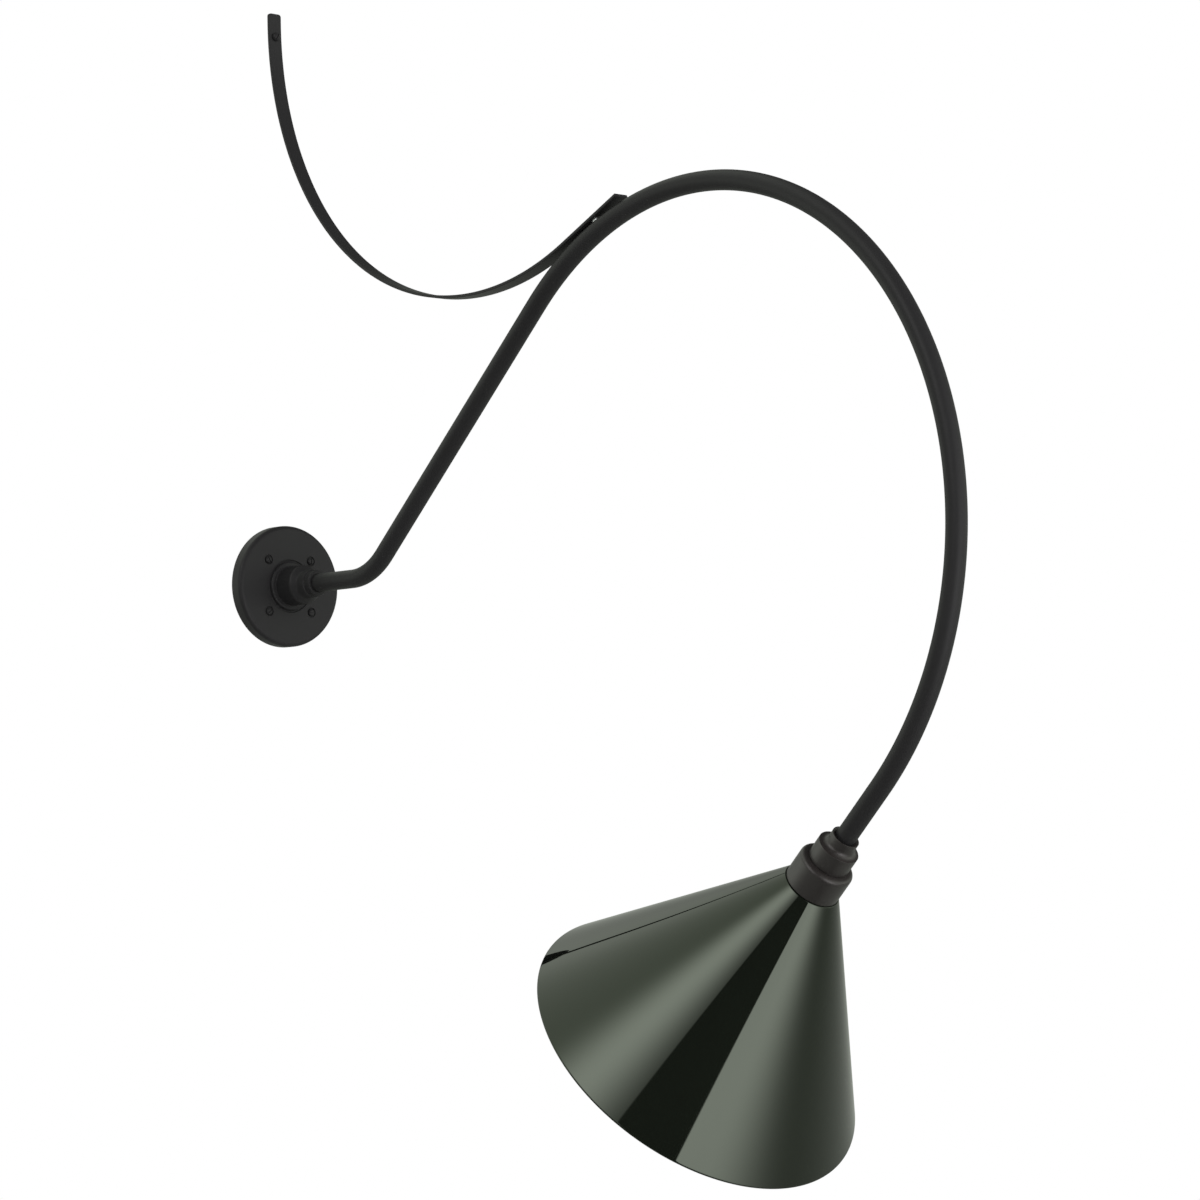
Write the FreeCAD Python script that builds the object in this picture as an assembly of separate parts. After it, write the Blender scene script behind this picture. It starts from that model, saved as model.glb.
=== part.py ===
import FreeCAD, Part
import os
from math import acos, cos, radians, sin, sqrt, tan

# Gooseneck wall sconce.  Millimetres.  The wall is the plane X = 0, +X points out into the
# room, +Z is up, and the origin is the middle of the wall canopy.  The arm and its stay lie
# in the plane Y = 0.

# ---- common clearances ---------------------------------------------------------------------
thread_gap = 0.05        # radial gap of every screw and nut, drawn as plain cylinders
slip_gap = 0.1           # radial gap of a tube or spigot in its socket
hole_gap = 0.4           # radial gap of a screw shank in a drilled hole

# ---- arm tube --------------------------------------------------------------------------------
tube_radius = 9.525      # 3/4 in steel tube
tube_wall = 1.65
stub_end = 124.0         # where the level run out of the wall starts to bend up
elbow_radius = 80.0
rise_angle = 42.0        # slope of the straight rise
rise_length = 333.0
crook_radius = 326.0     # the great bend
crook_sweep = 178.0
tail_length = 60.5       # straight end beyond the great bend

# ---- wall canopy -----------------------------------------------------------------------------
canopy_radius = 63.5     # 5 in across
canopy_depth = 15.5
canopy_wall = 2.5
canopy_edge_round = 4.7
canopy_screw_circle = 38.1   # radius of the 3 in screw circle
canopy_boss_radius = 5.0
screw_recess_radius = 4.9
screw_recess_depth = 1.2
screw_head_radius = 3.9
screw_head_height = 2.8
screw_radius = 2.1

# ---- wall plate --------------------------------------------------------------------------------
plate_radius = 54.0
plate_half_height = 36.0
plate_thickness = 2.5
plate_entry_radius = 12.5    # hole for the building's wires
box_screw_spacing = 88.9     # 3 1/2 in between junction-box screws
box_slot_radius = 2.4
box_slot_length = 12.0

# ---- ground screws and lead --------------------------------------------------------------------
ground_plate_height = 27.0   # screw in the plate, above the middle
ground_boss_height = 48.0    # screw in a boss behind the canopy's face
ground_boss_radius = 5.0
ground_boss_length = 4.5
ground_head_radius = 3.6
ground_head_height = 2.4
ground_screw_radius = 2.0
ground_lead_radius = 1.0
ground_lead_bend = 6.0

# ---- arm hub -------------------------------------------------------------------------------------
hub_flange_radius = 25.5
hub_flange_height = 3.2
hub_barrel_radius = 20.5
hub_barrel_height = 27.0     # from the canopy's face to the shoulder
hub_shoulder_height = 5.0
hub_neck_radius = 14.4
hub_neck_height = 9.5
hub_nose_radius = 13.2
hub_nose_height = 9.0
hub_spigot_radius = 15.0
hub_spigot_length = 7.0      # behind the canopy's face
hub_lip_thickness = 2.0
hub_groove_radius = 1.2
hub_locknut_height = 4.0
hub_locknut_flats = 36.0
set_screw_radius = 2.5
set_screw_sink = 1.0         # below the barrel's surface
set_screw_height = 18.0      # from the canopy's face

# ---- stay strap --------------------------------------------------------------------------------
stay_thickness = 3.0
stay_width = 16.0
stay_slope = 24.47           # degrees, of the straight tail that lies on the arm
stay_lead = 31.5             # straight length between the curve and the point nearest to the arm
stay_foot_length = 10.0      # straight end above the curve
stay_tail_length = 53.0      # beyond that nearest point
stay_corner_round = 3.0
stay_hole_radius = 2.8
stay_screw_offset = 14.0     # beyond that nearest point
stay_screw_radius = 2.4
stay_head_radius = 4.6
stay_head_height = 3.0
rivet_flange_radius = 5.2
rivet_flange_height = 0.8
rivet_body_radius = 3.5
rivet_bulge_radius = 4.6
rivet_length = 6.2
foot_screw_drop = 25.0       # below the strap's upper end
foot_head_radius = 4.4
foot_head_height = 4.6

# ---- neck: everything below is stacked along the axis of the arm's outer end --------------------
ring_radius = 13.0
ring_height = 2.6
ring_lip = 0.9
ring_hollow = 1.8            # depth of the hollow round the tube
skirt_radius = 19.5
cap_height = 28.5
cap_ledge = 10.0             # from the ring down to the cap's upper edge
cap_sweep = 5.8              # hollow rounding between collar and ledge
cap_wall = 1.6
cap_top_wall = 2.2
cup_radius = 25.9
cup_height = 29.0
cup_wall = 1.8
cup_top_wall = 2.0
cup_round = 4.5
cup_lip_height = 4.0
insert_length = 16.0
nipple_radius = 5.0
nipple_bore_radius = 3.6
nipple_engagement = 13.5
nipple_stand = 1.5           # beyond the bracket
nut_flats = 16.0
nut_height = 4.0

# ---- cone shade ----------------------------------------------------------------------------------
shade_top_radius = 26.7
shade_mouth_radius = 163.9   # 13 in across, nearly
shade_height = 214.2
shade_wall = 1.2
shade_hem_width = 4.0
shade_hem_round = 1.5
shade_hole_radius = 20.4
shade_screw_count = 3
shade_screw_circle = 22.6
shade_screw_radius = 1.2
shade_screw_head_radius = 2.1
shade_screw_head_height = 1.6
shade_screw_length = 4.2

# ---- lampholder ----------------------------------------------------------------------------------
bracket_length = 36.0
bracket_width = 14.0
bracket_thickness = 2.0
bracket_screw_offset = 15.4
bracket_screw_radius = 1.6
bracket_head_radius = 3.0
bracket_head_height = 2.2
bracket_screw_length = 10.0
holder_radius = 19.0
holder_round = 1.5
recess_radius = 12.0
recess_depth = 7.0
core_height = 19.0           # porcelain between the wiring recess and the shell's seat
contact_well_radius = 8.0
contact_well_depth = 4.0
holder_lip = 4.0             # porcelain beyond the screw shell
shell_length = 24.0
shell_wall = 0.4
shell_floor_hole = 6.5
contact_width = 5.0
contact_thickness = 0.6
contact_base = 11.0
contact_bend = 1.2
terminal_offset = 8.4
terminal_head_radius = 3.0
terminal_head_height = 3.0
terminal_screw_radius = 1.7
terminal_screw_length = 7.0

# ---- lamp ----------------------------------------------------------------------------------------
cap_radius = 13.05           # E26 screw cap
cap_gap = 0.3                # between the cap and the lampholder's shell
cap_length = 20.0
cap_sheet = 0.3
cap_taper_height = 1.6
tip_radius = 4.6
tip_height = 1.5
tip_stand = 1.0              # above the shell's floor
insulator_radius = 9.2
insulator_height = 2.6
globe_radius = 30.0
globe_length = 110.0         # from the tip contact to the globe's crown
globe_wall = 0.8
globe_neck_radius = 12.6
globe_tuck = 2.0             # glass inside the cap
globe_neck_length = 14.0
globe_flare_length = 25.0
globe_flare_round = 24.0
stem_radius = 3.2
stem_foot_height = 8.0
stem_round = 3.0
stem_length = 26.0
filament_count = 4
filament_radius = 0.9
filament_length = 32.0
filament_circle = 7.5
spider_thickness = 1.2
spider_margin = 0.8          # spider beyond the filaments

# ---- wires ---------------------------------------------------------------------------------------
wire_radius = 1.0
wire_offset = 1.25           # each side of the tube's centre line
wire_bend = 4.5              # bend behind the canopy
terminal_bend = 3.5          # bend at the lampholder's terminals
wire_fan_angle = 15.0        # each wire's slant from straight down, behind the canopy
connector_start = 21.0
connector_length = 16.0
connector_wide_radius = 3.6
connector_narrow_radius = 2.2
connector_depth = 9.0

# ---- places worked out from the sizes above -------------------------------------------------------
V = FreeCAD.Vector
canopy_face = canopy_depth
canopy_inside = canopy_depth - canopy_wall
tube_bore_radius = tube_radius - tube_wall
tube_start = canopy_face - hub_spigot_length + hub_lip_thickness
screw_side = canopy_screw_circle / sqrt(2.0)

tail_heading = rise_angle - crook_sweep
rise_foot = V(stub_end + elbow_radius * sin(radians(rise_angle)), 0,
              elbow_radius * (1 - cos(radians(rise_angle))))
rise_top = rise_foot + V(cos(radians(rise_angle)), 0, sin(radians(rise_angle))) * rise_length
crook_centre = rise_top + V(sin(radians(rise_angle)), 0, -cos(radians(rise_angle))) * crook_radius
crook_end = crook_centre + V(-sin(radians(tail_heading)), 0, cos(radians(tail_heading))) * crook_radius
neck_axis = V(cos(radians(tail_heading)), 0, sin(radians(tail_heading)))

cap_top = tail_length
cup_top = cap_top + cap_height
shade_top = cup_top + cup_height
nut_top = cup_top + cup_top_wall
bracket_top = nut_top + nut_height
holder_top = bracket_top + bracket_thickness
recess_floor = holder_top + recess_depth
shell_seat = recess_floor + core_height
contact_floor = shell_seat - contact_well_depth
shell_inner_radius = cap_radius + cap_gap
shell_outer_radius = shell_inner_radius + shell_wall
holder_end = shell_seat + shell_length + holder_lip
lamp_tip = shell_seat + tip_stand
insulator_top = lamp_tip + tip_height
lamp_cap_top = insulator_top + insulator_height
lamp_cap_end = lamp_cap_top + cap_length
globe_start = lamp_cap_end - globe_tuck
lamp_end = lamp_tip + globe_length


# ---- helpers -----------------------------------------------------------------------------------
def outline(corners):
    """Closed wire in the XZ plane through (x, z, round) corners, each rounded by a tangent arc."""
    count = len(corners)
    spans = []
    for i, (x, z, fillet) in enumerate(corners):
        here = V(x, 0, z)
        to_last = V(corners[i - 1][0], 0, corners[i - 1][1]) - here
        to_next = V(corners[(i + 1) % count][0], 0, corners[(i + 1) % count][1]) - here
        if not fillet:
            spans.append((here, None, here))
            continue
        half = to_last.getAngle(to_next) / 2
        reach = min(fillet / tan(half), 0.499 * to_last.Length, 0.499 * to_next.Length)
        fillet = reach * tan(half)
        to_last.normalize()
        to_next.normalize()
        middle = (to_last + to_next).normalize() * (fillet / sin(half) - fillet)
        spans.append((here + to_last * reach, here + middle, here + to_next * reach))
    edges = []
    for i, (start, middle, end) in enumerate(spans):
        if middle is not None:
            edges.append(Part.Arc(start, middle, end).toShape())
        following = spans[(i + 1) % count][0]
        if end.distanceToPoint(following) > 1e-6:
            edges.append(Part.LineSegment(end, following).toShape())
    return Part.Wire(edges)


def turned(corners):
    """Solid turned about +Z from (radius, height, round) corners."""
    return Part.Face(outline(corners)).revolve(V(0, 0, 0), V(0, 0, 1), 360)


def rod(radius, bottom, top, x=0.0, y=0.0):
    return Part.makeCylinder(radius, top - bottom, V(x, y, bottom))


def pipe(outer, inner, bottom, top):
    return rod(outer, bottom, top).cut(rod(inner, bottom - 1, top + 1))


def hexagon(flats, bottom, top):
    corner = flats / 2 / cos(radians(30))
    points = [V(corner * cos(radians(60 * i)), corner * sin(radians(60 * i)), bottom) for i in range(7)]
    return Part.Face(Part.makePolygon(points)).extrude(V(0, 0, top - bottom))


def hex_nut(flats, bore, bottom, top):
    """Hexagon nut whose two ends are chamfered by a cone."""
    corner = flats / 2 / cos(radians(30))
    bevel = corner - flats / 2
    blank = turned([(0, bottom, 0), (flats / 2, bottom, 0), (corner, bottom + bevel / 2, 0),
                    (corner, top - bevel / 2, 0), (flats / 2, top, 0), (0, top, 0)])
    return hexagon(flats, bottom, top).common(blank).cut(rod(bore, bottom - 1, top + 1))


def round_screw(head_radius, head_height, shank_radius, length, slot=0.9):
    """Slotted round-headed screw: its head stands on Z = 0 upwards, its shank points down."""
    head = turned([(0, 0, 0), (head_radius, 0, 0), (head_radius, head_height, 0.8 * head_height),
                   (0, head_height, 0)])
    shank = turned([(0, -length, 0), (0.7 * shank_radius, -length, 0),
                    (shank_radius, 0.5 * shank_radius - length, 0), (shank_radius, 0, 0), (0, 0, 0)])
    groove = Part.makeBox(3 * head_radius, slot, head_height,
                          V(-1.5 * head_radius, -slot / 2, 0.6 * head_height))
    return head.fuse(shank).removeSplitter().cut(groove)


def placed(shape, origin, x_way, z_way):
    """Copy of a shape whose +X and +Z are turned to the two directions, and moved to origin."""
    y_way = z_way.cross(x_way)
    turn = FreeCAD.Matrix(x_way.x, y_way.x, z_way.x, origin.x,
                          x_way.y, y_way.y, z_way.y, origin.y,
                          x_way.z, y_way.z, z_way.z, origin.z, 0, 0, 0, 1)
    moved = shape.copy()
    moved.Placement = FreeCAD.Placement(turn).multiply(moved.Placement)
    return moved


def on_wall(shape, out=0.0):
    """From a piece's own +Z to the wall's outward +X; its own X is Y, its own Y is Z."""
    return placed(shape, V(out, 0, 0), V(0, 1, 0), V(1, 0, 0))


def on_neck(shape, along=0.0):
    """From a piece's own +Z to the axis of the arm's outer end, counted from the great bend."""
    return placed(shape, crook_end + neck_axis * along, V(neck_axis.z, 0, -neck_axis.x), neck_axis)


def line(start, end):
    return Part.LineSegment(start, end).toShape()


def arc(centre, radius, first, last):
    """Arc in the XZ plane between two angles in degrees from +X."""
    points = [centre + V(cos(radians(a)), 0, sin(radians(a))) * radius
              for a in (first, (first + last) / 2, last)]
    return Part.Arc(*points).toShape()


def arm_path():
    """Centre line of the arm: level stub, elbow, rise, great bend and straight tail."""
    elbow_centre = V(stub_end, 0, elbow_radius)
    return [line(V(tube_start, 0, 0), V(stub_end, 0, 0)),
            arc(elbow_centre, elbow_radius, -90, rise_angle - 90),
            line(rise_foot, rise_top),
            arc(crook_centre, crook_radius, 90 + rise_angle, 90 + tail_heading),
            line(crook_end, crook_end + neck_axis * tail_length)]


def disc(centre, normal, radius):
    return Part.Face(Part.Wire(Part.makeCircle(radius, centre, normal)))


# ---- wall canopy and what lies behind it ----------------------------------------------------------
def screw_places():
    return [(sx * screw_side, sy * screw_side) for sx in (-1, 1) for sy in (-1, 1)]


def canopy():
    inner = canopy_radius - canopy_wall
    body = turned([(0, 0, 0), (canopy_radius, 0, 0), (canopy_radius, canopy_face, canopy_edge_round),
                   (0, canopy_face, 0)])
    hollow = turned([(0, -1, 0), (inner, -1, 0), (inner, canopy_inside, canopy_edge_round - canopy_wall),
                     (0, canopy_inside, 0)])
    groove = Part.makeTorus(hub_flange_radius + hub_groove_radius, hub_groove_radius, V(0, 0, canopy_face))
    body = body.cut([hollow, groove, rod(hub_spigot_radius + slip_gap, -1, canopy_face + 1)])
    for x, y in screw_places():
        body = body.fuse(rod(canopy_boss_radius, plate_thickness, canopy_inside + 0.1, x, y))
    body = body.fuse(rod(ground_boss_radius, canopy_inside - ground_boss_length, canopy_inside + 0.1,
                         0, ground_boss_height))
    for x, y in screw_places():
        body = body.cut([rod(screw_radius + hole_gap, -1, canopy_face + 1, x, y),
                         rod(screw_recess_radius, canopy_face - screw_recess_depth, canopy_face + 1, x, y)])
    thread = rod(ground_screw_radius + thread_gap, canopy_inside - ground_boss_length - 1, canopy_inside,
                 0, ground_boss_height)
    return on_wall(body.cut(thread).removeSplitter())


def canopy_screws():
    length = canopy_face - screw_recess_depth
    screw = round_screw(screw_head_radius, screw_head_height, screw_radius, length)
    screws = []
    for x, y in screw_places():
        screws.append(on_wall(screw.translated(V(x, y, length))))
    return Part.makeCompound(screws)


def wall_plate():
    plate = rod(plate_radius, 0, plate_thickness)
    plate = plate.common(Part.makeBox(2 * plate_radius, 2 * plate_half_height, plate_thickness,
                                      V(-plate_radius, -plate_half_height, 0)))
    holes = [rod(plate_entry_radius, -1, plate_thickness + 1),
             rod(ground_screw_radius + thread_gap, -1, plate_thickness + 1, 0, ground_plate_height)]
    for x, y in screw_places():
        holes.append(rod(screw_radius + thread_gap, -1, plate_thickness + 1, x, y))
    straight = box_slot_length - 2 * box_slot_radius
    for side in (-1, 1):
        middle = side * box_screw_spacing / 2
        for end in (-straight / 2, straight / 2):
            holes.append(rod(box_slot_radius, -1, plate_thickness + 1, middle + end, 0))
        holes.append(Part.makeBox(straight, 2 * box_slot_radius, plate_thickness + 2,
                                  V(middle - straight / 2, -box_slot_radius, -1)))
    return on_wall(plate.cut(holes).removeSplitter())


def ground_screws():
    screw = round_screw(ground_head_radius, ground_head_height, ground_screw_radius,
                        min(plate_thickness, ground_boss_length))
    in_plate = screw.translated(V(0, ground_plate_height, plate_thickness))
    upside_down = placed(screw, V(0, ground_boss_height, canopy_inside - ground_boss_length),
                         V(1, 0, 0), V(0, 0, -1))
    return Part.makeCompound([on_wall(in_plate), on_wall(upside_down)])


def ground_lead():
    """Green lead from the plate's ground screw to the canopy's, with one double bend."""
    low = plate_thickness + ground_head_height / 2 + 0.1
    high = canopy_inside - ground_boss_length - ground_head_height / 2 - 0.1
    start = ground_plate_height + ground_head_radius
    end = ground_boss_height - ground_head_radius
    rise = high - low
    turn = acos(1 - rise / 2 / ground_lead_bend)
    across = ground_lead_bend * sin(turn)
    first = (start + end) / 2 - across
    middle = V(0, first + across, (low + high) / 2)
    lower = V(0, first + ground_lead_bend * sin(turn / 2), low + ground_lead_bend * (1 - cos(turn / 2)))
    upper = middle * 2 - lower
    edges = [line(V(0, start, low), V(0, first, low)),
             Part.Arc(V(0, first, low), lower, middle).toShape(),
             Part.Arc(middle, upper, V(0, first + 2 * across, high)).toShape(),
             line(V(0, first + 2 * across, high), V(0, end, high))]
    lead = Part.Wire(edges).makePipe(disc(V(0, start, low), V(0, 1, 0), ground_lead_radius))
    return on_wall(lead)


def arm_hub():
    """Turned hub: flanged barrel, shoulder, stepped nose, and a threaded spigot behind the canopy."""
    z = canopy_face
    shoulder = z + hub_barrel_height
    neck = shoulder + hub_shoulder_height
    nose = neck + hub_neck_height
    end = nose + hub_nose_height
    rear = z - hub_spigot_length
    body = turned([(0, rear, 0), (hub_spigot_radius, rear, 0.8), (hub_spigot_radius, z, 0),
                   (hub_flange_radius, z, 0), (hub_flange_radius, z + hub_flange_height, 2.0),
                   (hub_barrel_radius, z + hub_flange_height, 0.8), (hub_barrel_radius, shoulder, 3.5),
                   (hub_neck_radius + 0.8, neck, 2.5), (hub_neck_radius, nose, 0),
                   (hub_nose_radius, nose + 0.8, 0), (hub_nose_radius, end, 1.6), (0, end, 0)])
    body = body.cut([rod(tube_radius + slip_gap, tube_start, end + 1),
                     rod(tube_bore_radius, rear - 1, tube_start + 1)])
    tapped = rod(set_screw_radius + thread_gap, 0, hub_flange_radius + 1)
    return on_wall(body.cut(placed(tapped, V(0, 0, z + set_screw_height), V(1, 0, 0), V(0, -1, 0))))


def hub_locknut():
    nut = hex_nut(hub_locknut_flats, hub_spigot_radius + thread_gap,
                  canopy_inside - hub_locknut_height, canopy_inside)
    return on_wall(nut)


def hub_set_screw():
    """Grub screw from below, with a hexagon socket, that bears on the arm tube."""
    outer = hub_barrel_radius - set_screw_sink
    screw = turned([(0, tube_radius, 0), (set_screw_radius - 0.8, tube_radius, 0),
                    (set_screw_radius, tube_radius + 0.8, 0), (set_screw_radius, outer, 0), (0, outer, 0)])
    screw = screw.cut(hexagon(set_screw_radius, outer - set_screw_radius, outer + 1))
    return on_wall(placed(screw, V(0, 0, canopy_face + set_screw_height), V(1, 0, 0), V(0, -1, 0)))


# ---- arm and stay ----------------------------------------------------------------------------------
stay_way = V(cos(radians(stay_slope)), 0, sin(radians(stay_slope)))
stay_up = V(-sin(radians(stay_slope)), 0, cos(radians(stay_slope)))
stay_back = stay_thickness / 2                             # centre line of the strap's foot


def stay_run():
    """The tail's nearest point to the arm, where that straight tail starts, and the curve's radius.

    The tail touches a circle round the great bend that leaves room for the rivet nut's flange and half
    the strap.  The curve's radius is the one that runs into the tail below and into the wall above.
    """
    clear = crook_radius + tube_radius + rivet_flange_height + stay_thickness / 2
    nearest = crook_centre + stay_up * clear
    start = nearest - stay_way * stay_lead
    return nearest, start, (start.x - stay_back) / (1 - stay_up.x)


stay_nearest, tail_start, stay_curve_radius = stay_run()
stay_centre = tail_start + stay_up * stay_curve_radius
stay_end = stay_nearest + stay_way * stay_tail_length
stay_seat = stay_nearest + stay_way * stay_screw_offset    # on the strap's centre line
foot_top = stay_centre.z + stay_foot_length
foot_screw_height = foot_top - foot_screw_drop


def across_stay(shape):
    """From a piece's own +Z to the outward normal of the strap's tail, at its screw."""
    return placed(shape, stay_seat, V(0, 1, 0), stay_up)


def tube_crown():
    """Height of the arm's surface under the stay screw, from the strap's centre line."""
    offset = stay_seat - crook_centre
    along = offset.dot(stay_way)
    return sqrt((crook_radius + tube_radius) ** 2 - along ** 2) - offset.dot(stay_up)


def full_arm(radius):
    return Part.Wire(arm_path()).makePipe(disc(V(tube_start, 0, 0), V(1, 0, 0), radius))


def arm_tube():
    tube = full_arm(tube_radius).cut(full_arm(tube_bore_radius))
    drilled = rod(rivet_body_radius + slip_gap, tube_crown() - 2 * tube_wall, 0)
    return tube.cut(across_stay(drilled))


def stay_strap():
    """Flat bar: straight foot on the wall, one long rolled curve, and a straight tail on the arm."""
    top = V(stay_back, 0, foot_top)
    path = Part.Wire([line(top, V(stay_back, 0, stay_centre.z)),
                      arc(stay_centre, stay_curve_radius, 180, 270 + stay_slope),
                      line(tail_start, stay_end)])
    half = stay_thickness / 2
    section = Part.makePolygon([top + V(x * half, y * stay_width / 2, 0)
                                for x, y in ((-1, -1), (1, -1), (1, 1), (-1, 1), (-1, -1))])
    strap = path.makePipe(Part.Face(section))
    corners = [edge for edge in strap.Edges
               if abs(edge.CenterOfMass.z - foot_top) < 0.01 and abs(edge.Length - stay_thickness) < 0.01]
    strap = strap.makeFillet(stay_corner_round, corners)
    foot_hole = placed(rod(stay_hole_radius, -stay_thickness, foot_seat() + stay_thickness),
                       V(0, 0, foot_screw_height), V(0, 1, 0), V(1, 0, 0))
    return strap.cut([foot_hole, across_stay(rod(stay_hole_radius, -stay_thickness, stay_thickness))])


def stay_arm_screw():
    length = stay_thickness / 2 - tube_crown() + rivet_length
    screw = round_screw(stay_head_radius, stay_head_height, stay_screw_radius, length)
    return across_stay(screw.translated(V(0, 0, stay_thickness / 2)))


def stay_rivet_nut():
    """Rivet nut: saddled flange on the arm, body through its wall, bulge inside."""
    crown = tube_crown()
    top = -stay_thickness / 2
    wall = crown - tube_wall
    flange = rod(rivet_flange_radius, crown - 3, top)
    flange = across_stay(flange).cut(full_arm(tube_radius))
    body = turned([(0, crown - rivet_length, 0), (rivet_body_radius, crown - rivet_length, 0.6),
                   (rivet_body_radius, wall - 2.6, 0), (rivet_bulge_radius, wall - 1.8, 0),
                   (rivet_body_radius, wall - 0.8, 0), (rivet_body_radius, top, 0), (0, top, 0)])
    nut = flange.fuse(across_stay(body)).removeSplitter()
    return nut.cut(across_stay(rod(stay_screw_radius + thread_gap, crown - 2 * rivet_length, top + 1)))


def foot_seat():
    """How far the strap's front stands off the wall at the lower edge of its foot screw's head."""
    below = max(stay_centre.z - foot_screw_height + foot_head_radius, 0.0)
    front = stay_curve_radius - stay_thickness / 2
    return stay_centre.x - sqrt(front ** 2 - below ** 2)


def stay_foot_screw():
    """Domed screw head at the strap's foot; its shank stops at the wall plane."""
    seat = foot_seat()
    screw = round_screw(foot_head_radius, foot_head_height, stay_hole_radius - hole_gap, seat)
    return placed(screw, V(seat, 0, foot_screw_height), V(0, 1, 0), V(1, 0, 0))


# ---- neck -------------------------------------------------------------------------------------------
def neck_ring():
    """Ring at the arm's end, hollowed round the tube so that only a thin lip stands up."""
    low = cap_top - ring_height
    bore = tube_radius + slip_gap
    return on_neck(turned([(ring_radius - ring_lip, low, 0), (ring_radius, low, ring_lip / 3),
                           (ring_radius, cap_top, 0), (bore, cap_top, 0), (bore, low + ring_hollow, 0)]))


def tube_insert():
    """Threaded plug pressed into the arm's outer end."""
    return on_neck(pipe(tube_bore_radius - slip_gap / 2, nipple_radius + thread_gap,
                        cap_top - insert_length, cap_top))


def neck_cap():
    """Cap that sweeps out from a collar to a sharp-edged skirt, open below."""
    ledge = cap_top + cap_ledge
    body = turned([(0, cap_top, 0), (ring_radius, cap_top, 0), (ring_radius, ledge, cap_sweep),
                   (skirt_radius, ledge, 0), (skirt_radius, cup_top, 0), (0, cup_top, 0)])
    collar = ring_radius - cap_wall
    inner = skirt_radius - cap_wall
    hollow = turned([(0, cap_top + cap_top_wall, 0), (collar, cap_top + cap_top_wall, cap_wall),
                     (collar, ledge + cap_wall, cap_wall), (inner, ledge + cap_wall, cap_wall),
                     (inner, cup_top + 1, 0), (0, cup_top + 1, 0)])
    return on_neck(body.cut([hollow, rod(nipple_radius + hole_gap, cap_top - 1, cup_top)]))


def lampholder_cup():
    """Cup that stands on the shade; a thick lip below takes the shade screws."""
    lip = shade_top - cup_lip_height
    body = turned([(0, cup_top, 0), (cup_radius, cup_top, cup_round), (cup_radius, shade_top, 0),
                   (0, shade_top, 0)])
    inner = cup_radius - cup_wall
    hollow = turned([(0, nut_top, 0), (inner, nut_top, cup_round - cup_wall), (inner, lip, 0), (0, lip, 0)])
    body = body.cut([hollow, rod(shade_hole_radius, lip - 1, shade_top + 1),
                     rod(nipple_radius + hole_gap, cup_top - 1, nut_top + 1)])
    holes = [rod(shade_screw_radius + thread_gap, lip - 1, shade_top + 1, x, y)
             for x, y in shade_screw_places()]
    return on_neck(body.cut(holes))


def nipple():
    return on_neck(pipe(nipple_radius, nipple_bore_radius, cap_top - nipple_engagement,
                        holder_top + nipple_stand))


def nipple_locknut():
    return on_neck(hex_nut(nut_flats, nipple_radius + thread_gap, nut_top, bracket_top))


def shade_screw_places():
    turn = 360.0 / shade_screw_count
    return [(shade_screw_circle * cos(radians(turn * i + 30)), shade_screw_circle * sin(radians(turn * i + 30)))
            for i in range(shade_screw_count)]


def cone_shade():
    """Spun cone: flat seat round the lampholder hole, straight wall, and a hem turned in at the mouth."""
    slope = (shade_mouth_radius - shade_top_radius) / shade_height
    level_wall = shade_wall * sqrt(1 + slope ** 2)
    mouth = shade_height
    section = [(shade_hole_radius, 0, 0), (shade_top_radius, 0, shade_wall),
               (shade_mouth_radius, mouth, shade_hem_round),
               (shade_mouth_radius - shade_hem_width, mouth, 0),
               (shade_mouth_radius - shade_hem_width, mouth - shade_wall, 0),
               (shade_mouth_radius - level_wall - shade_wall * slope, mouth - shade_wall, 0),
               (shade_top_radius - level_wall + shade_wall * slope, shade_wall, 0),
               (shade_hole_radius, shade_wall, 0)]
    holes = [rod(shade_screw_radius + hole_gap, -1, shade_wall + 1, x, y) for x, y in shade_screw_places()]
    return on_neck(turned(section).cut(holes), shade_top)


def shade_screws():
    screw = round_screw(shade_screw_head_radius, shade_screw_head_height, shade_screw_radius,
                        shade_screw_length, 0.6)
    return Part.makeCompound([on_neck(screw.translated(V(x, y, shade_top + shade_wall)))
                              for x, y in shade_screw_places()])


# ---- lampholder ---------------------------------------------------------------------------------------
def lampholder_bracket():
    bar = Part.makeBox(bracket_length, bracket_width, bracket_thickness,
                       V(-bracket_length / 2, -bracket_width / 2, bracket_top))
    round_end = rod(bracket_length / 2, bracket_top, holder_top)
    holes = [rod(nipple_radius + thread_gap, bracket_top - 1, holder_top + 1)]
    for side in (-1, 1):
        holes.append(rod(bracket_screw_radius + hole_gap, bracket_top - 1, holder_top + 1,
                         side * bracket_screw_offset))
    return on_neck(bar.common(round_end).cut(holes))


def bracket_screws():
    screw = round_screw(bracket_head_radius, bracket_head_height, bracket_screw_radius,
                        bracket_screw_length, 0.7)
    return Part.makeCompound([on_neck(placed(screw, V(side * bracket_screw_offset, 0, bracket_top),
                                             V(1, 0, 0), V(0, 0, -1))) for side in (-1, 1)])


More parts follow.
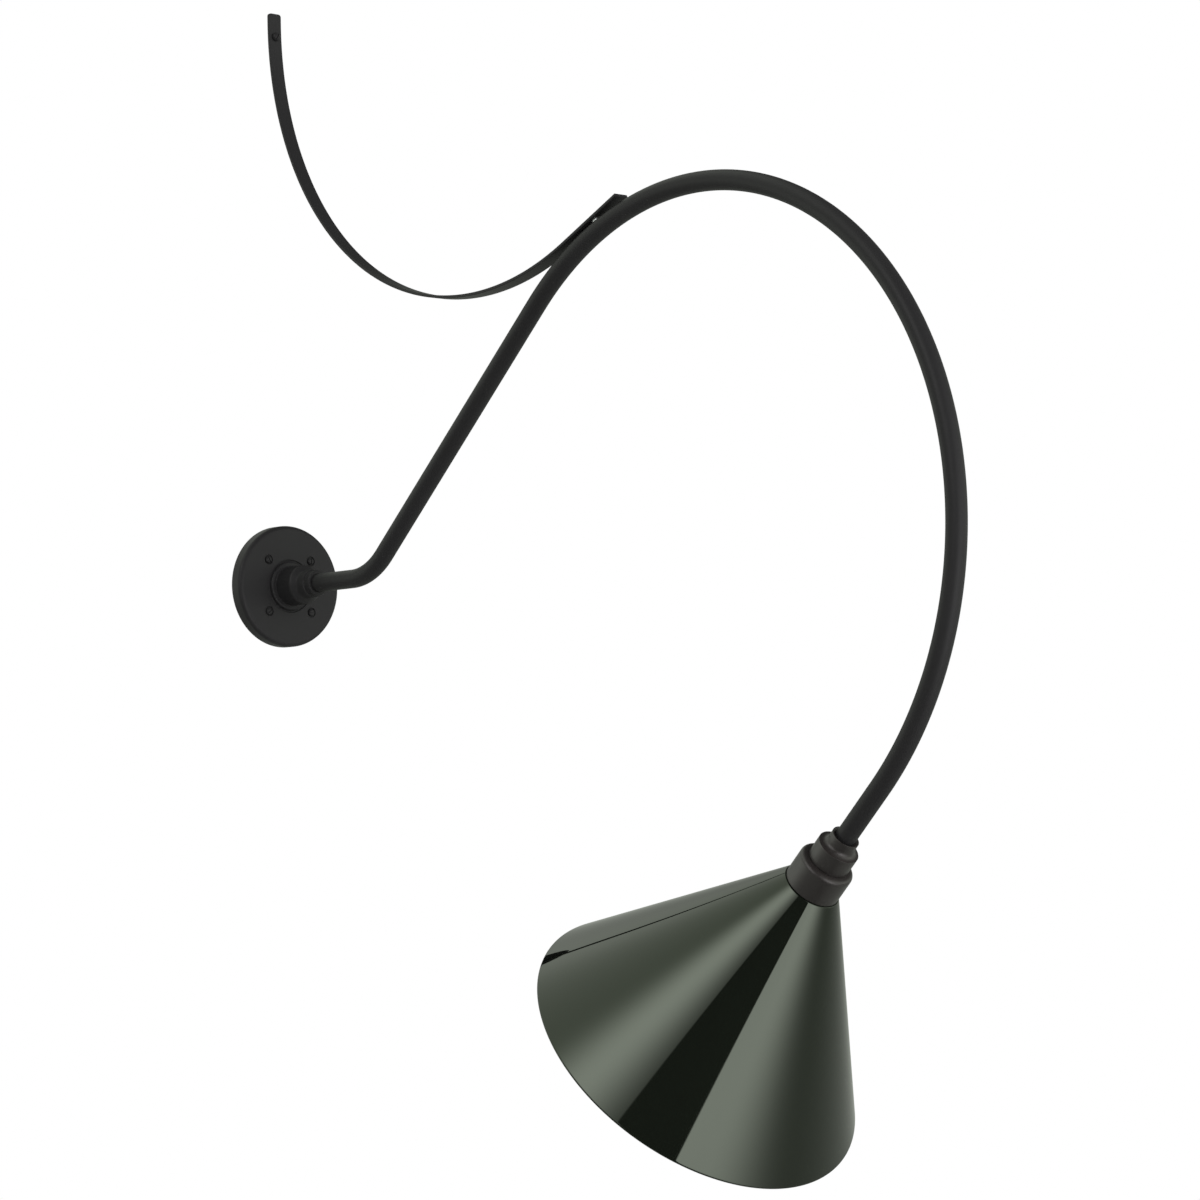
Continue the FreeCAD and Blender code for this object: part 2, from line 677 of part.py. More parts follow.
def lampholder_body():
    """Porcelain holder: wiring recess above, contact well and shell bore below."""
    bore = shell_outer_radius + slip_gap
    body = turned([(0, holder_top, 0), (holder_radius, holder_top, holder_round),
                   (holder_radius, holder_end, holder_round), (0, holder_end, 0)])
    hollow = turned([(0, contact_floor, 0), (contact_well_radius, contact_floor, 0),
                     (contact_well_radius, shell_seat, 0), (bore, shell_seat, 0),
                     (bore, holder_end + 1, 0), (0, holder_end + 1, 0)])
    holes = [hollow, rod(recess_radius, holder_top - 1, recess_floor)]
    for side in (-1, 1):
        holes.append(rod(bracket_screw_radius + thread_gap, holder_top - 1,
                         bracket_top + bracket_screw_length + 1, side * bracket_screw_offset))
        holes.append(rod(terminal_screw_radius + thread_gap, recess_floor - 1,
                         recess_floor + terminal_screw_length + 1, 0, side * terminal_offset))
    return on_neck(body.cut(holes))


def screw_shell():
    floor_top = shell_seat
    body = pipe(shell_outer_radius, shell_inner_radius, floor_top, floor_top + shell_length)
    return on_neck(body.fuse(pipe(shell_outer_radius, shell_floor_hole, floor_top,
                                  floor_top + shell_wall)).removeSplitter())


def centre_contact():
    """Spring strip folded back on itself: its base lies in the well, its tongue meets the tip."""
    half = contact_thickness / 2
    low = contact_floor + half
    high = lamp_tip - half
    bend = min(contact_bend, (high - low) / 2)
    right = contact_base / 2 - bend
    path = Part.Wire([line(V(-contact_base / 2, 0, low), V(right, 0, low)),
                      Part.Arc(V(right, 0, low), V(right + bend, 0, low + bend),
                               V(right, 0, low + 2 * bend)).toShape(),
                      line(V(right, 0, low + 2 * bend), V(right - bend, 0, low + 2 * bend))])
    start = V(-contact_base / 2, 0, low)
    section = Part.makePolygon([start + V(0, y * contact_width / 2, z * half)
                                for y, z in ((-1, -1), (1, -1), (1, 1), (-1, 1), (-1, -1))])
    folded = path.makePipe(Part.Face(section))
    fold_top = low + 2 * bend
    tongue = Part.makePolygon([V(right - bend + 0.01, -contact_width / 2, fold_top - half),
                               V(right - bend + 0.01, -contact_width / 2, fold_top + half),
                               V(tip_radius / 2, -contact_width / 2, high + half),
                               V(-tip_radius / 2, -contact_width / 2, high + half),
                               V(-tip_radius / 2, -contact_width / 2, high - half),
                               V(tip_radius / 2, -contact_width / 2, high - half),
                               V(right - bend + 0.01, -contact_width / 2, fold_top - half)])
    tongue = Part.Face(tongue).extrude(V(0, contact_width, 0))
    return on_neck(folded.fuse(tongue).removeSplitter())


def terminal_screws():
    screw = round_screw(terminal_head_radius, terminal_head_height, terminal_screw_radius,
                        terminal_screw_length, 0.7)
    upright = placed(screw, V(0, 0, 0), V(1, 0, 0), V(0, 0, -1))
    return Part.makeCompound([on_neck(upright.translated(V(0, side * terminal_offset, recess_floor)))
                              for side in (-1, 1)])


# ---- lamp -----------------------------------------------------------------------------------------------
def lamp_tip_contact():
    return on_neck(turned([(0, lamp_tip, 0), (tip_radius, lamp_tip, tip_height * 0.8),
                           (tip_radius, insulator_top, 0), (0, insulator_top, 0)]))


def lamp_insulator():
    return on_neck(turned([(0, insulator_top, 0), (tip_radius, insulator_top, 0),
                           (insulator_radius, lamp_cap_top - 0.6, 0), (insulator_radius, lamp_cap_top, 0),
                           (0, lamp_cap_top, 0)]))


def lamp_cap():
    body = turned([(0, lamp_cap_top, 0), (insulator_radius + 0.6, lamp_cap_top, 0),
                   (cap_radius, lamp_cap_top + cap_taper_height, 0), (cap_radius, lamp_cap_end, 0),
                   (0, lamp_cap_end, 0)])
    inner = cap_radius - cap_sheet
    hollow = turned([(0, lamp_cap_top + cap_sheet, 0), (insulator_radius, lamp_cap_top + cap_sheet, 0),
                     (inner, lamp_cap_top + cap_taper_height + cap_sheet, 0), (inner, lamp_cap_end + 1, 0),
                     (0, lamp_cap_end + 1, 0)])
    return on_neck(body.cut(hollow))


def globe_form(inset):
    """Solid bulb: straight neck, flare, and a round crown, drawn in by inset."""
    neck = globe_neck_radius - inset
    wide = globe_radius - inset
    crown = lamp_end - inset
    flare = globe_start + globe_neck_length
    return turned([(0, globe_start - inset, 0), (neck, globe_start - inset, 0), (neck, flare, globe_flare_round),
                   (wide, flare + globe_flare_length, globe_radius), (wide, crown, wide), (0, crown, 0)])


def lamp_globe():
    return on_neck(globe_form(0.0).cut(globe_form(globe_wall)))


def lamp_stem():
    """Glass mount whose flared foot is sealed into the globe's neck."""
    foot = globe_start
    top = foot + stem_length
    neck = globe_neck_radius - globe_wall - slip_gap
    return on_neck(turned([(0, foot, 0), (neck, foot, 0), (neck, foot + globe_wall, 0),
                           (stem_radius, foot + stem_foot_height, stem_round),
                           (stem_radius, top, 0), (0, top, 0)]))


def lamp_filaments():
    """Four straight filaments between two spiders, the lower one on the stem."""
    low = globe_start + stem_length
    high = low + filament_length
    spider = filament_circle + filament_radius + spider_margin
    body = rod(filament_radius, low, high).fuse([rod(spider, z, z + spider_thickness)
                                                 for z in (low, high - spider_thickness)])
    for i in range(filament_count):
        turn = radians(360.0 / filament_count * i)
        x = filament_circle * cos(turn)
        y = filament_circle * sin(turn)
        body = body.fuse(rod(filament_radius, low, high, x, y))
    return on_neck(body.removeSplitter())


# ---- wires -------------------------------------------------------------------------------------------------
wire_level = plate_thickness + slip_gap + connector_wide_radius


def fan_way(side):
    """Direction of a wire behind the canopy: down the wall, slanting out to its own side."""
    return V(0, side * sin(radians(wire_fan_angle)), -cos(radians(wire_fan_angle)))


def wire(side):
    """Insulated wire from its connector, round into the arm, through it and out to its terminal."""
    shift = V(0, side * wire_offset, 0)
    way = fan_way(side)
    bend_start = V(wire_level, 0, 0) + shift + way * wire_bend
    centre = V(wire_level + wire_bend, 0, 0) + shift + way * wire_bend
    bend_end = V(wire_level + wire_bend, 0, 0) + shift
    bend_mid = centre - (way + V(1, 0, 0)).normalize() * wire_bend
    tail = V(wire_level, 0, 0) + shift + way * (connector_start + connector_depth)
    edges = [line(tail, bend_start), Part.Arc(bend_start, bend_mid, bend_end).toShape(),
             line(bend_end, V(stub_end, 0, 0) + shift)]
    for edge in arm_path()[1:4]:
        edges.append(edge.translated(shift))
    seat = recess_floor - terminal_head_height / 2 - terminal_bend
    out = V(0, side, 0)
    turn_start = crook_end + neck_axis * seat + shift
    turn_centre = turn_start + out * terminal_bend
    turn_mid = turn_centre + (neck_axis - out).normalize() * terminal_bend
    turn_end = turn_centre + neck_axis * terminal_bend
    stop = turn_end + out * (terminal_offset - terminal_head_radius - wire_offset - terminal_bend)
    edges += [line(crook_end + shift, turn_start), Part.Arc(turn_start, turn_mid, turn_end).toShape(),
              line(turn_end, stop)]
    return Part.Wire(edges).makePipe(disc(tail, way, wire_radius))


def wire_connectors():
    caps = []
    for side in (-1, 1):
        body = turned([(0, 0, 0), (connector_wide_radius, 0, 0.6),
                       (connector_narrow_radius, connector_length, 1.0), (0, connector_length, 0)])
        body = body.cut(rod(wire_radius + thread_gap, -1, connector_depth))
        way = fan_way(side)
        mouth = V(wire_level, side * wire_offset, 0) + way * connector_start
        caps.append(placed(body, mouth, V(1, 0, 0), way))
    return Part.makeCompound(caps)


# ---- the sconce ------------------------------------------------------------------------------------------------
pieces = {
    "wall_canopy": canopy,
    "canopy_screws": canopy_screws,
    "wall_plate": wall_plate,
    "ground_screws": ground_screws,
    "ground_lead": ground_lead,
    "arm_hub": arm_hub,
    "hub_locknut": hub_locknut,
    "hub_set_screw": hub_set_screw,
    "arm_tube": arm_tube,
    "stay_strap": stay_strap,
    "stay_arm_screw": stay_arm_screw,
    "stay_rivet_nut": stay_rivet_nut,
    "stay_foot_screw": stay_foot_screw,
    "neck_ring": neck_ring,
    "tube_insert": tube_insert,
    "neck_cap": neck_cap,
    "lampholder_cup": lampholder_cup,
    "nipple": nipple,
    "nipple_locknut": nipple_locknut,
    "cone_shade": cone_shade,
    "shade_screws": shade_screws,
    "lampholder_bracket": lampholder_bracket,
    "bracket_screws": bracket_screws,
    "lampholder_body": lampholder_body,
    "screw_shell": screw_shell,
    "centre_contact": centre_contact,
    "terminal_screws": terminal_screws,
    "lamp_tip_contact": lamp_tip_contact,
    "lamp_insulator": lamp_insulator,
    "lamp_cap": lamp_cap,
    "lamp_globe": lamp_globe,
    "lamp_stem": lamp_stem,
    "lamp_filaments": lamp_filaments,
    "live_wire": lambda: wire(1),
    "neutral_wire": lambda: wire(-1),
    "wire_connectors": wire_connectors,
}

os.makedirs("parts", exist_ok=True)
for name, make in pieces.items():
    shape = make()
    shape.exportStep("parts/%s.step" % name)
    print("%-20s %3d solids  %10.1f mm3  valid %s" % (name, len(shape.Solids), shape.Volume, shape.isValid()))
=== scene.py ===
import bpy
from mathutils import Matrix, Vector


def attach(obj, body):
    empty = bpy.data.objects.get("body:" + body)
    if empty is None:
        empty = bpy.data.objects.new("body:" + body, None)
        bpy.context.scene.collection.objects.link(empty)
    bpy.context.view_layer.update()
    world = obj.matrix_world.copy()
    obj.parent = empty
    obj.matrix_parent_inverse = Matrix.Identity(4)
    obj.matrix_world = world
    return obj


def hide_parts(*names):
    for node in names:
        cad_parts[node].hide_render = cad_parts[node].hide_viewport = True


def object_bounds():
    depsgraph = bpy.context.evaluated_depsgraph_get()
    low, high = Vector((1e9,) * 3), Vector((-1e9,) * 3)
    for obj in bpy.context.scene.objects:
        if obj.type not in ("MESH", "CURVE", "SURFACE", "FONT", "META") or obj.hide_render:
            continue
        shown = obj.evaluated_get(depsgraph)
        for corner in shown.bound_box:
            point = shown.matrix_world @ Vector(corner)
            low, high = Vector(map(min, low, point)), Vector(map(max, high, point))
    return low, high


bl_info = {
    "name": "Gooseneck Wall Sconce",
    "version": (1, 0, 0),
    "blender": (4, 5, 0),
    "location": "3D View > Sidebar > Sconce",
    "description": "Dresses a packed gooseneck wall sconce with finished pieces and sets its studio",
    "category": "Add Mesh",
}

from collections import namedtuple
from math import cos, degrees, pi, radians, sin, sqrt, tan

import bpy
import numpy as np
from bpy.props import FloatProperty, FloatVectorProperty, IntProperty, PointerProperty
from mathutils import Matrix, Vector

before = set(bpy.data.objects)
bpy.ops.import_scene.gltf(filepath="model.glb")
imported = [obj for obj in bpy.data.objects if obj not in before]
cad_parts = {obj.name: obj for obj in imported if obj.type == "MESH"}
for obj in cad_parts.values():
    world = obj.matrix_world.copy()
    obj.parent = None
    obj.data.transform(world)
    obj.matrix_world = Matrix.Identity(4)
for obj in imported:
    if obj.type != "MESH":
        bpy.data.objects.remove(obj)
frame_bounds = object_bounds()

# Lengths in metres, as everywhere in this file
BORE_GAP = 0.0001       # room between a bore and what stands in it
THREAD_FADE = 0.001     # height over which a rolled thread fades in or out
THREAD_STEP = 0.0003    # longest side in the outline of a threaded sheet
CRISP = 0.0003          # rounding of a machined edge
EASED = 0.0008          # rounding of a cast or moulded edge
TOUCHING = 1e-9         # points nearer to the axis than this lie on it

ARC_STEP = radians(9.0)     # longest step of an arc at a rounded corner
SIDE_SHARE = 0.998          # part of a side that two arcs may take up together
SUPPORT = 1.25              # distance of an arc's support point from the corner, in reaches of the arc
SUPPORT_ROOM = 3            # shortest side that gets support points, in reaches of the arc
SHARP = 32.0                # edges that fold more than this, in degrees, are shaded sharp

# Patches of light that the gloss shows: angles in degrees, round the vertical from the camera's side and
# above the horizon, and the slope of the patch's own middle line
Patch = namedtuple("Patch", "turn width rise height slant", defaults=(0.0,))
LEFT_PANEL = Patch(-37.0, 17.0, 25.0, 14.0, 0.75)
RIGHT_PANEL = Patch(30.0, 29.0, -17.0, 14.0, 0.25)
LEFT_WALL = Patch(-105.0, 32.0, 4.0, 16.0)
RIGHT_WALL = Patch(85.0, 30.0, 5.0, 13.0)
PANEL_TOP = 19.0            # height of the right panel above its middle line
PANEL_EDGE = 0.4            # half the soft edge of the dark gap
CEILING = 0.8               # brightness of the ceiling's left side
CEILING_SHADE = 0.8         # share of the room's brightness that the ceiling's right side lacks
FRONT_SHADE = 0.3           # share of the room's brightness that is left in the gap
LIGHTS = {"key_light": ((3.2, 0.4, 1.0), 2.2, 105.0),       # place, size and power
          "fill_light": ((0.6, -2.8, 1.8), 2.4, 25.0)}
FLOOR_SIDES = 96
SENSOR_WIDTH = 36.0


# ---- sizes and colours -----------------------------------------------------------------------
def length(name, description, default):
    return FloatProperty(name=name, description=description, default=default, unit="LENGTH", precision=5)


def angle(name, description, default):
    return FloatProperty(name=name, description=description, default=radians(default), unit="ROTATION")


def colour(name, description, default):
    return FloatVectorProperty(name=name, description=description, default=default, subtype="COLOR",
                               min=0.0, max=1.0)


def direction(name, description, default):
    return FloatVectorProperty(name=name, description=description, default=default, subtype="DIRECTION")


def level(name, description, default):
    return FloatProperty(name=name, description=description, default=default, min=0.0)


class ArmSizes(bpy.types.PropertyGroup):
    """The bent tube and the hub that it stands in."""
    tube_radius: length("Tube Radius", "Outside radius of the arm tube", 0.009525)
    tube_wall: length("Tube Wall", "Wall thickness of the arm tube", 0.00165)
    tube_start: length("Tube Start", "Where the tube starts inside the hub, out from the wall", 0.0105)
    stub_end: length("Stub End", "Where the level stub starts to bend up", 0.124)
    elbow_radius: length("Elbow Radius", "Centre-line radius of the elbow", 0.08)
    rise_angle: angle("Rise Angle", "Slope of the straight rise", 42.0)
    rise_length: length("Rise Length", "Length of the straight rise", 0.333)
    crook_radius: length("Crook Radius", "Centre-line radius of the great bend", 0.326)
    crook_sweep: angle("Crook Sweep", "Angle that the great bend turns through", 178.0)
    tail_length: length("Tail Length", "Straight end beyond the great bend", 0.0605)


class CanopySizes(bpy.types.PropertyGroup):
    """The round wall canopy, its screws and the hub on its face."""
    radius: length("Canopy Radius", "Radius of the round canopy", 0.0635)
    depth: length("Canopy Depth", "Depth of the canopy from the wall", 0.0155)
    wall: length("Canopy Wall", "Wall thickness of the canopy", 0.0025)
    edge_round: length("Edge Round", "Rounding of the canopy's front edge", 0.0047)
    screw_circle: length("Screw Circle", "Radius of the circle of four screws", 0.0381)
    recess_radius: length("Recess Radius", "Radius of each screw's recess", 0.0049)
    recess_depth: length("Recess Depth", "Depth of each screw's recess", 0.0012)
    head_radius: length("Head Radius", "Radius of the canopy screws' heads", 0.0039)
    head_height: length("Head Height", "Height of the canopy screws' heads", 0.0028)
    screw_radius: length("Screw Radius", "Radius of the canopy screws' shanks", 0.0021)
    flange_radius: length("Flange Radius", "Radius of the hub's flange", 0.0255)
    flange_height: length("Flange Height", "Height of the hub's flange", 0.0032)
    barrel_radius: length("Barrel Radius", "Radius of the hub's barrel", 0.0205)
    barrel_height: length("Barrel Height", "Height of the barrel above the canopy's face", 0.027)
    shoulder_height: length("Shoulder Height", "Height of the hub's rounded shoulder", 0.005)
    neck_radius: length("Neck Radius", "Radius of the hub's neck", 0.0144)
    neck_height: length("Neck Height", "Height of the hub's neck", 0.0095)
    nose_radius: length("Nose Radius", "Radius of the hub's nose", 0.0132)
    nose_height: length("Nose Height", "Height of the hub's nose", 0.009)
    spigot_radius: length("Spigot Radius", "Radius of the spigot behind the face", 0.015)
    spigot_length: length("Spigot Length", "Length of the spigot behind the face", 0.007)
    groove_radius: length("Groove Radius", "Radius of the groove round the flange", 0.0012)


class StaySizes(bpy.types.PropertyGroup):
    """The flat stay between the wall and the great bend."""
    thickness: length("Strap Thickness", "Thickness of the flat bar", 0.003)
    width: length("Strap Width", "Width of the flat bar", 0.016)
    slope: angle("Tail Slope", "Slope of the straight tail on the arm", 24.47)
    lead: length("Lead", "Straight length between the curve and the point nearest to the arm", 0.0315)
    foot_length: length("Foot Length", "Straight end above the curve", 0.01)
    tail_length: length("Tail Length", "Tail beyond its nearest point to the arm", 0.053)
    corner_round: length("Corner Round", "Rounding of the two upper corners", 0.003)
    seat_gap: length("Seat Gap", "Room between the arm and the strap for the rivet nut's flange", 0.0008)
    screw_offset: length("Screw Offset", "Arm screw beyond the nearest point", 0.014)
    screw_radius: length("Screw Radius", "Radius of both screws' shanks", 0.0024)
    head_radius: length("Head Radius", "Radius of the arm screw's head", 0.0046)
    head_height: length("Head Height", "Height of the arm screw's head", 0.003)
    foot_drop: length("Foot Screw Drop", "Foot screw below the strap's upper end", 0.025)
    foot_head_radius: length("Foot Head Radius", "Radius of the foot screw's head", 0.0044)
    foot_head_height: length("Foot Head Height", "Height of the foot screw's head", 0.0046)


class NeckSizes(bpy.types.PropertyGroup):
    """Ring, cap and cup at the arm's outer end."""
    ring_radius: length("Ring Radius", "Radius of the ring at the tube's end and of the collar", 0.013)
    ring_height: length("Ring Height", "Height of that ring", 0.0026)
    ring_lip: length("Ring Lip", "Width of the lip that stands up round the hollow", 0.0009)
    ring_hollow: length("Ring Hollow", "Depth of the hollow round the tube", 0.0018)
    skirt_radius: length("Skirt Radius", "Radius of the cap's skirt", 0.0195)
    cap_height: length("Cap Height", "Height of collar and skirt", 0.0285)
    cap_ledge: length("Cap Ledge", "From the ring down to the cap's upper edge", 0.01)
    cap_sweep: length("Cap Sweep", "Hollow rounding between collar and ledge", 0.0058)
    cap_wall: length("Cap Wall", "Wall thickness of the cap", 0.0016)
    cap_roof: length("Cap Roof", "Thickness of the cap's top", 0.0022)
    cup_radius: length("Cup Radius", "Radius of the cup on the shade", 0.0259)
    cup_height: length("Cup Height", "Height of the cup", 0.029)
    cup_wall: length("Cup Wall", "Wall thickness of the cup", 0.0018)
    cup_roof: length("Cup Roof", "Thickness of the cup's top", 0.002)
    cup_round: length("Cup Round", "Rounding of the cup's upper edge", 0.0045)
    cup_lip: length("Cup Lip", "Height of the thick lip at the cup's foot", 0.004)
    bore: length("Bore", "Radius of the hole for the threaded tube", 0.0054)


class ShadeSizes(bpy.types.PropertyGroup):
    """The spun cone."""
    top_radius: length("Top Radius", "Radius of the cone under the cup", 0.0267)
    mouth_radius: length("Mouth Radius", "Radius of the cone's mouth", 0.1639)
    height: length("Height", "Height of the cone along its axis", 0.2142)
    wall: length("Wall", "Thickness of the spun sheet", 0.0012)
    hem_width: length("Hem Width", "Width of the hem turned in at the mouth", 0.004)
    hem_round: length("Hem Round", "Rounding of the hem's outer edge", 0.0015)
    hole_radius: length("Hole Radius", "Radius of the hole for the lampholder", 0.0204)


class LampSizes(bpy.types.PropertyGroup):
    """Lampholder and lamp, along the axis of the arm's outer end."""
    holder_start: length("Holder Start", "Start of the porcelain, from the great bend's end", 0.097)
    holder_radius: length("Holder Radius", "Radius of the porcelain", 0.019)
    holder_end: length("Holder End", "End of the porcelain", 0.151)
    recess_radius: length("Recess Radius", "Radius of the wiring recess", 0.012)
    recess_floor: length("Recess Floor", "Floor of the wiring recess", 0.104)
    well_radius: length("Well Radius", "Radius of the contact well", 0.008)
    well_floor: length("Well Floor", "Floor of the contact well", 0.119)
    shell_seat: length("Shell Seat", "Where the screw shell stands", 0.123)
    shell_length: length("Shell Length", "Length of the screw shell", 0.024)
    shell_radius: length("Shell Radius", "Outside radius of the screw shell", 0.01375)
    shell_sheet: length("Shell Sheet", "Thickness of the screw shell", 0.0004)
    shell_hole: length("Shell Hole", "Radius of the hole in the shell's floor", 0.0065)
    pitch: length("Thread Pitch", "Advance of the lamp's thread in one turn", 0.003629)
    thread_depth: length("Thread Depth", "Depth of the rolled threads", 0.0008)
    cap_radius: length("Cap Radius", "Radius of the lamp's screw cap", 0.01305)
    cap_start: length("Cap Start", "Start of the screw cap", 0.1281)
    cap_end: length("Cap End", "End of the screw cap", 0.1481)
    cap_sheet: length("Cap Sheet", "Thickness of the screw cap's sheet", 0.0003)
    cap_taper: length("Cap Taper", "Height of the cap's tapered shoulder", 0.0016)
    insulator_radius: length("Insulator Radius", "Radius of the glass insulator", 0.0092)
    insulator_start: length("Insulator Start", "Start of the glass insulator", 0.1255)
    tip_radius: length("Tip Radius", "Radius of the tip contact", 0.0046)
    tip_start: length("Tip Start", "Start of the tip contact", 0.124)
    globe_start: length("Globe Start", "Start of the globe's glass", 0.1461)
    globe_end: length("Globe End", "The globe's crown", 0.234)
    globe_radius: length("Globe Radius", "Radius of the globe", 0.03)
    globe_wall: length("Globe Wall", "Thickness of the glass", 0.0008)
    globe_neck: length("Globe Neck", "Radius of the globe's neck", 0.0126)
    globe_neck_length: length("Neck Length", "Straight length of the globe's neck", 0.014)
    flare_length: length("Flare Length", "Length of the flare", 0.025)
    flare_round: length("Flare Round", "Rounding between neck and flare", 0.024)
    stem_radius: length("Stem Radius", "Radius of the glass stem", 0.0032)
    stem_foot: length("Stem Foot", "Height of the stem's flared foot", 0.008)
    stem_length: length("Stem Length", "Length of the stem", 0.026)
    filament_length: length("Filament Length", "Height of the filament cage", 0.032)
    filament_radius: length("Filament Radius", "Radius of one filament", 0.0009)
    filament_circle: length("Filament Circle", "Radius of the circle of filaments", 0.0075)
    filament_count: IntProperty(name="Filaments", description="Filaments in the circle", default=4, min=2)


class Finishes(bpy.types.PropertyGroup):
    """Colours of the finishes, as linear values."""
    black: colour("Black Coat", "Black powder coat of arm, canopy and stay", (0.0142, 0.0140, 0.0144))
    neck: colour("Neck Coat", "Bronze-black coat of ring, cap and cup", (0.0136, 0.0118, 0.0112))
    green: colour("Green Enamel", "Outside of the shade", (0.0024, 0.0032, 0.0022))
    green_gloss: colour("Green Gloss", "Tint of the green enamel's shine", (0.90, 1.0, 0.83))
    white: colour("White Enamel", "Inside of the shade", (0.82, 0.81, 0.77))
    zinc: colour("Zinc", "Plated steel behind the canopy", (0.60, 0.61, 0.62))
    brass: colour("Brass", "Brass parts", (0.72, 0.50, 0.22))
    nickel: colour("Nickel", "Lamp cap and screw shell", (0.66, 0.64, 0.60))
    porcelain: colour("Porcelain", "Glazed lampholder", (0.82, 0.81, 0.77))
    filament: colour("Filament", "Coating of the filaments", (0.90, 0.55, 0.12))

class Studio(bpy.types.PropertyGroup):
    """Camera and light."""
    camera_place: FloatVectorProperty(name="Camera Place", description="Where the camera stands",
                                      default=(2.98408, -2.1493, -0.27237), subtype="XYZ", unit="LENGTH")
    camera_view: direction("Camera Direction", "Direction that the camera looks in",
                           (-0.75320849, 0.65419316, 0.06861684))
    camera_up: direction("Camera Up", "Upward direction of the camera's frame",
                         (0.06545572, -0.02925503, 0.99742653))
    lens: FloatProperty(name="Lens", description="Focal length of the camera", default=104.905,
                        unit="CAMERA")
    floor_height: length("Floor Height", "Height of the pale floor", -1.0)
    floor_radius: length("Floor Radius", "Radius of the pale floor", 2.4)
    sky: level("Sky", "Even light from all round", 0.55)
    panel: level("Panels", "Brightness of the two soft panels in the gloss", 4.2)
    room: level("Room", "Brightness of the room round the panels in the gloss", 0.42)
    room_colour: colour("Room Colour", "Colour of the room in the gloss", (0.94, 1.0, 0.89))
    left_wall: level("Left Wall", "Brightness of the left wall in the gloss", 1.2)
    right_wall: level("Right Wall", "Brightness of the right wall in the gloss", 1.3)
    gap: angle("Gap", "Half the dark gap between the two panels", 15.5)


SETTINGS = {"sconce_arm": ArmSizes, "sconce_canopy": CanopySizes, "sconce_stay": StaySizes,
            "sconce_neck": NeckSizes, "sconce_shade": ShadeSizes, "sconce_lamp": LampSizes,
            "sconce_finishes": Finishes, "sconce_studio": Studio}


# ---- shapes ------------------------------------------------------------------------------------
def rounded(corners, closed=True):
    """Points of a line through (radius, height, round) corners, with an arc at each rounded corner.

    Where two sides meet at the angle 2h, the arc of radius q touches both at its reach q / tan(h) from the
    corner, and its centre lies on the bisector at q / sin(h).  Two arcs that are too long for their side
    share it in proportion.  A support point beside each end of an arc keeps a long side's shading flat.
    """
    places = np.array([corner[:2] for corner in corners], float)
    fillets = np.array([corner[2] for corner in corners], float)
    if not closed:
        fillets[[0, -1]] = 0
    behind, ahead = np.roll(places, 1, axis=0) - places, np.roll(places, -1, axis=0) - places
    coming = np.linalg.norm(ahead, axis=1)
    last = np.roll(coming, 1)
    cosine = np.einsum("ij,ij->i", behind, ahead) / (last * coming)
    halves = np.arccos(np.clip(cosine, -1, 1)) / 2
    reaches = fillets / np.tan(halves)
    share = np.minimum(1, SIDE_SHARE * coming / np.maximum(reaches + np.roll(reaches, -1), TOUCHING))
    reaches = reaches * np.minimum(share, np.roll(share, 1))
    line = []
    for corner, *sides, half, reach in zip(places, behind, ahead, last, coming, halves, reaches):
        line.append(corner_arc(corner, *sides, half, reach) if reach else corner[None])
    return np.concatenate(line)


def corner_arc(corner, behind, ahead, last, coming, half, reach):
    """One corner's arc: its centre plus q (out cos t - side sin t), with t from -span / 2 to span / 2."""
    behind, ahead = behind / last, ahead / coming
    fillet = reach * tan(half)
    out = -(behind + ahead) / np.linalg.norm(behind + ahead)
    centre = corner - out * fillet / sin(half)
    start = corner + behind * reach - centre
    side = start - out * (start @ out)
    side = side / np.linalg.norm(side)
    span = pi - 2 * half
    turn = np.linspace(-span / 2, span / 2, max(2, int(np.ceil(span / ARC_STEP)) + 1))[:, None]
    arc = centre + fillet * (out * np.cos(turn) - side * np.sin(turn))
    before, after = ([corner + way * SUPPORT * reach] if SUPPORT_ROOM * reach < room else np.empty((0, 2))
                     for way, room in ((behind, last), (ahead, coming)))
    return np.concatenate([before, arc, after])


def spaced(points, longest):
    """The closed line through points with every side cut into equal parts no longer than longest."""
    ahead = np.roll(points, -1, axis=0)
    parts = np.maximum(1, np.ceil(np.linalg.norm(ahead - points, axis=1) / longest).astype(int))
    side = np.repeat(np.arange(len(points)), parts)
    share = (np.arange(parts.sum()) - np.repeat(np.cumsum(parts) - parts, parts)) / np.repeat(parts, parts)
    return points[side] + (ahead - points)[side] * share[:, None]


def shell(points, wrap_rows=False):
    """Closed skin of quads over a grid of points, as (points, quads, row of each quad).

    Columns always wrap.  Points that coincide, as a pole's do, become one, and the skin is turned so that
    its signed volume, the sum of a . (b x c) / 6 over its triangles, is positive.
    """
    rows, columns = points.shape[:2]
    row = np.arange(rows if wrap_rows else rows - 1)[:, None]
    column = np.arange(columns)[None]
    after = (row + 1) % rows
    beside = (column + 1) % columns
    quads = np.stack([row * columns + column, after * columns + column,
                      after * columns + beside, row * columns + beside], axis=-1).reshape(-1, 4)
    flat = points.reshape(-1, 3)
    a, b, c, d = (flat[quads[:, i]] for i in range(4))
    volume = np.einsum("ij,ij->", a, np.cross(b, c)) + np.einsum("ij,ij->", a, np.cross(c, d))
    if volume < 0:
        quads = quads[:, ::-1]
    return flat, quads, np.repeat(row.ravel(), columns)


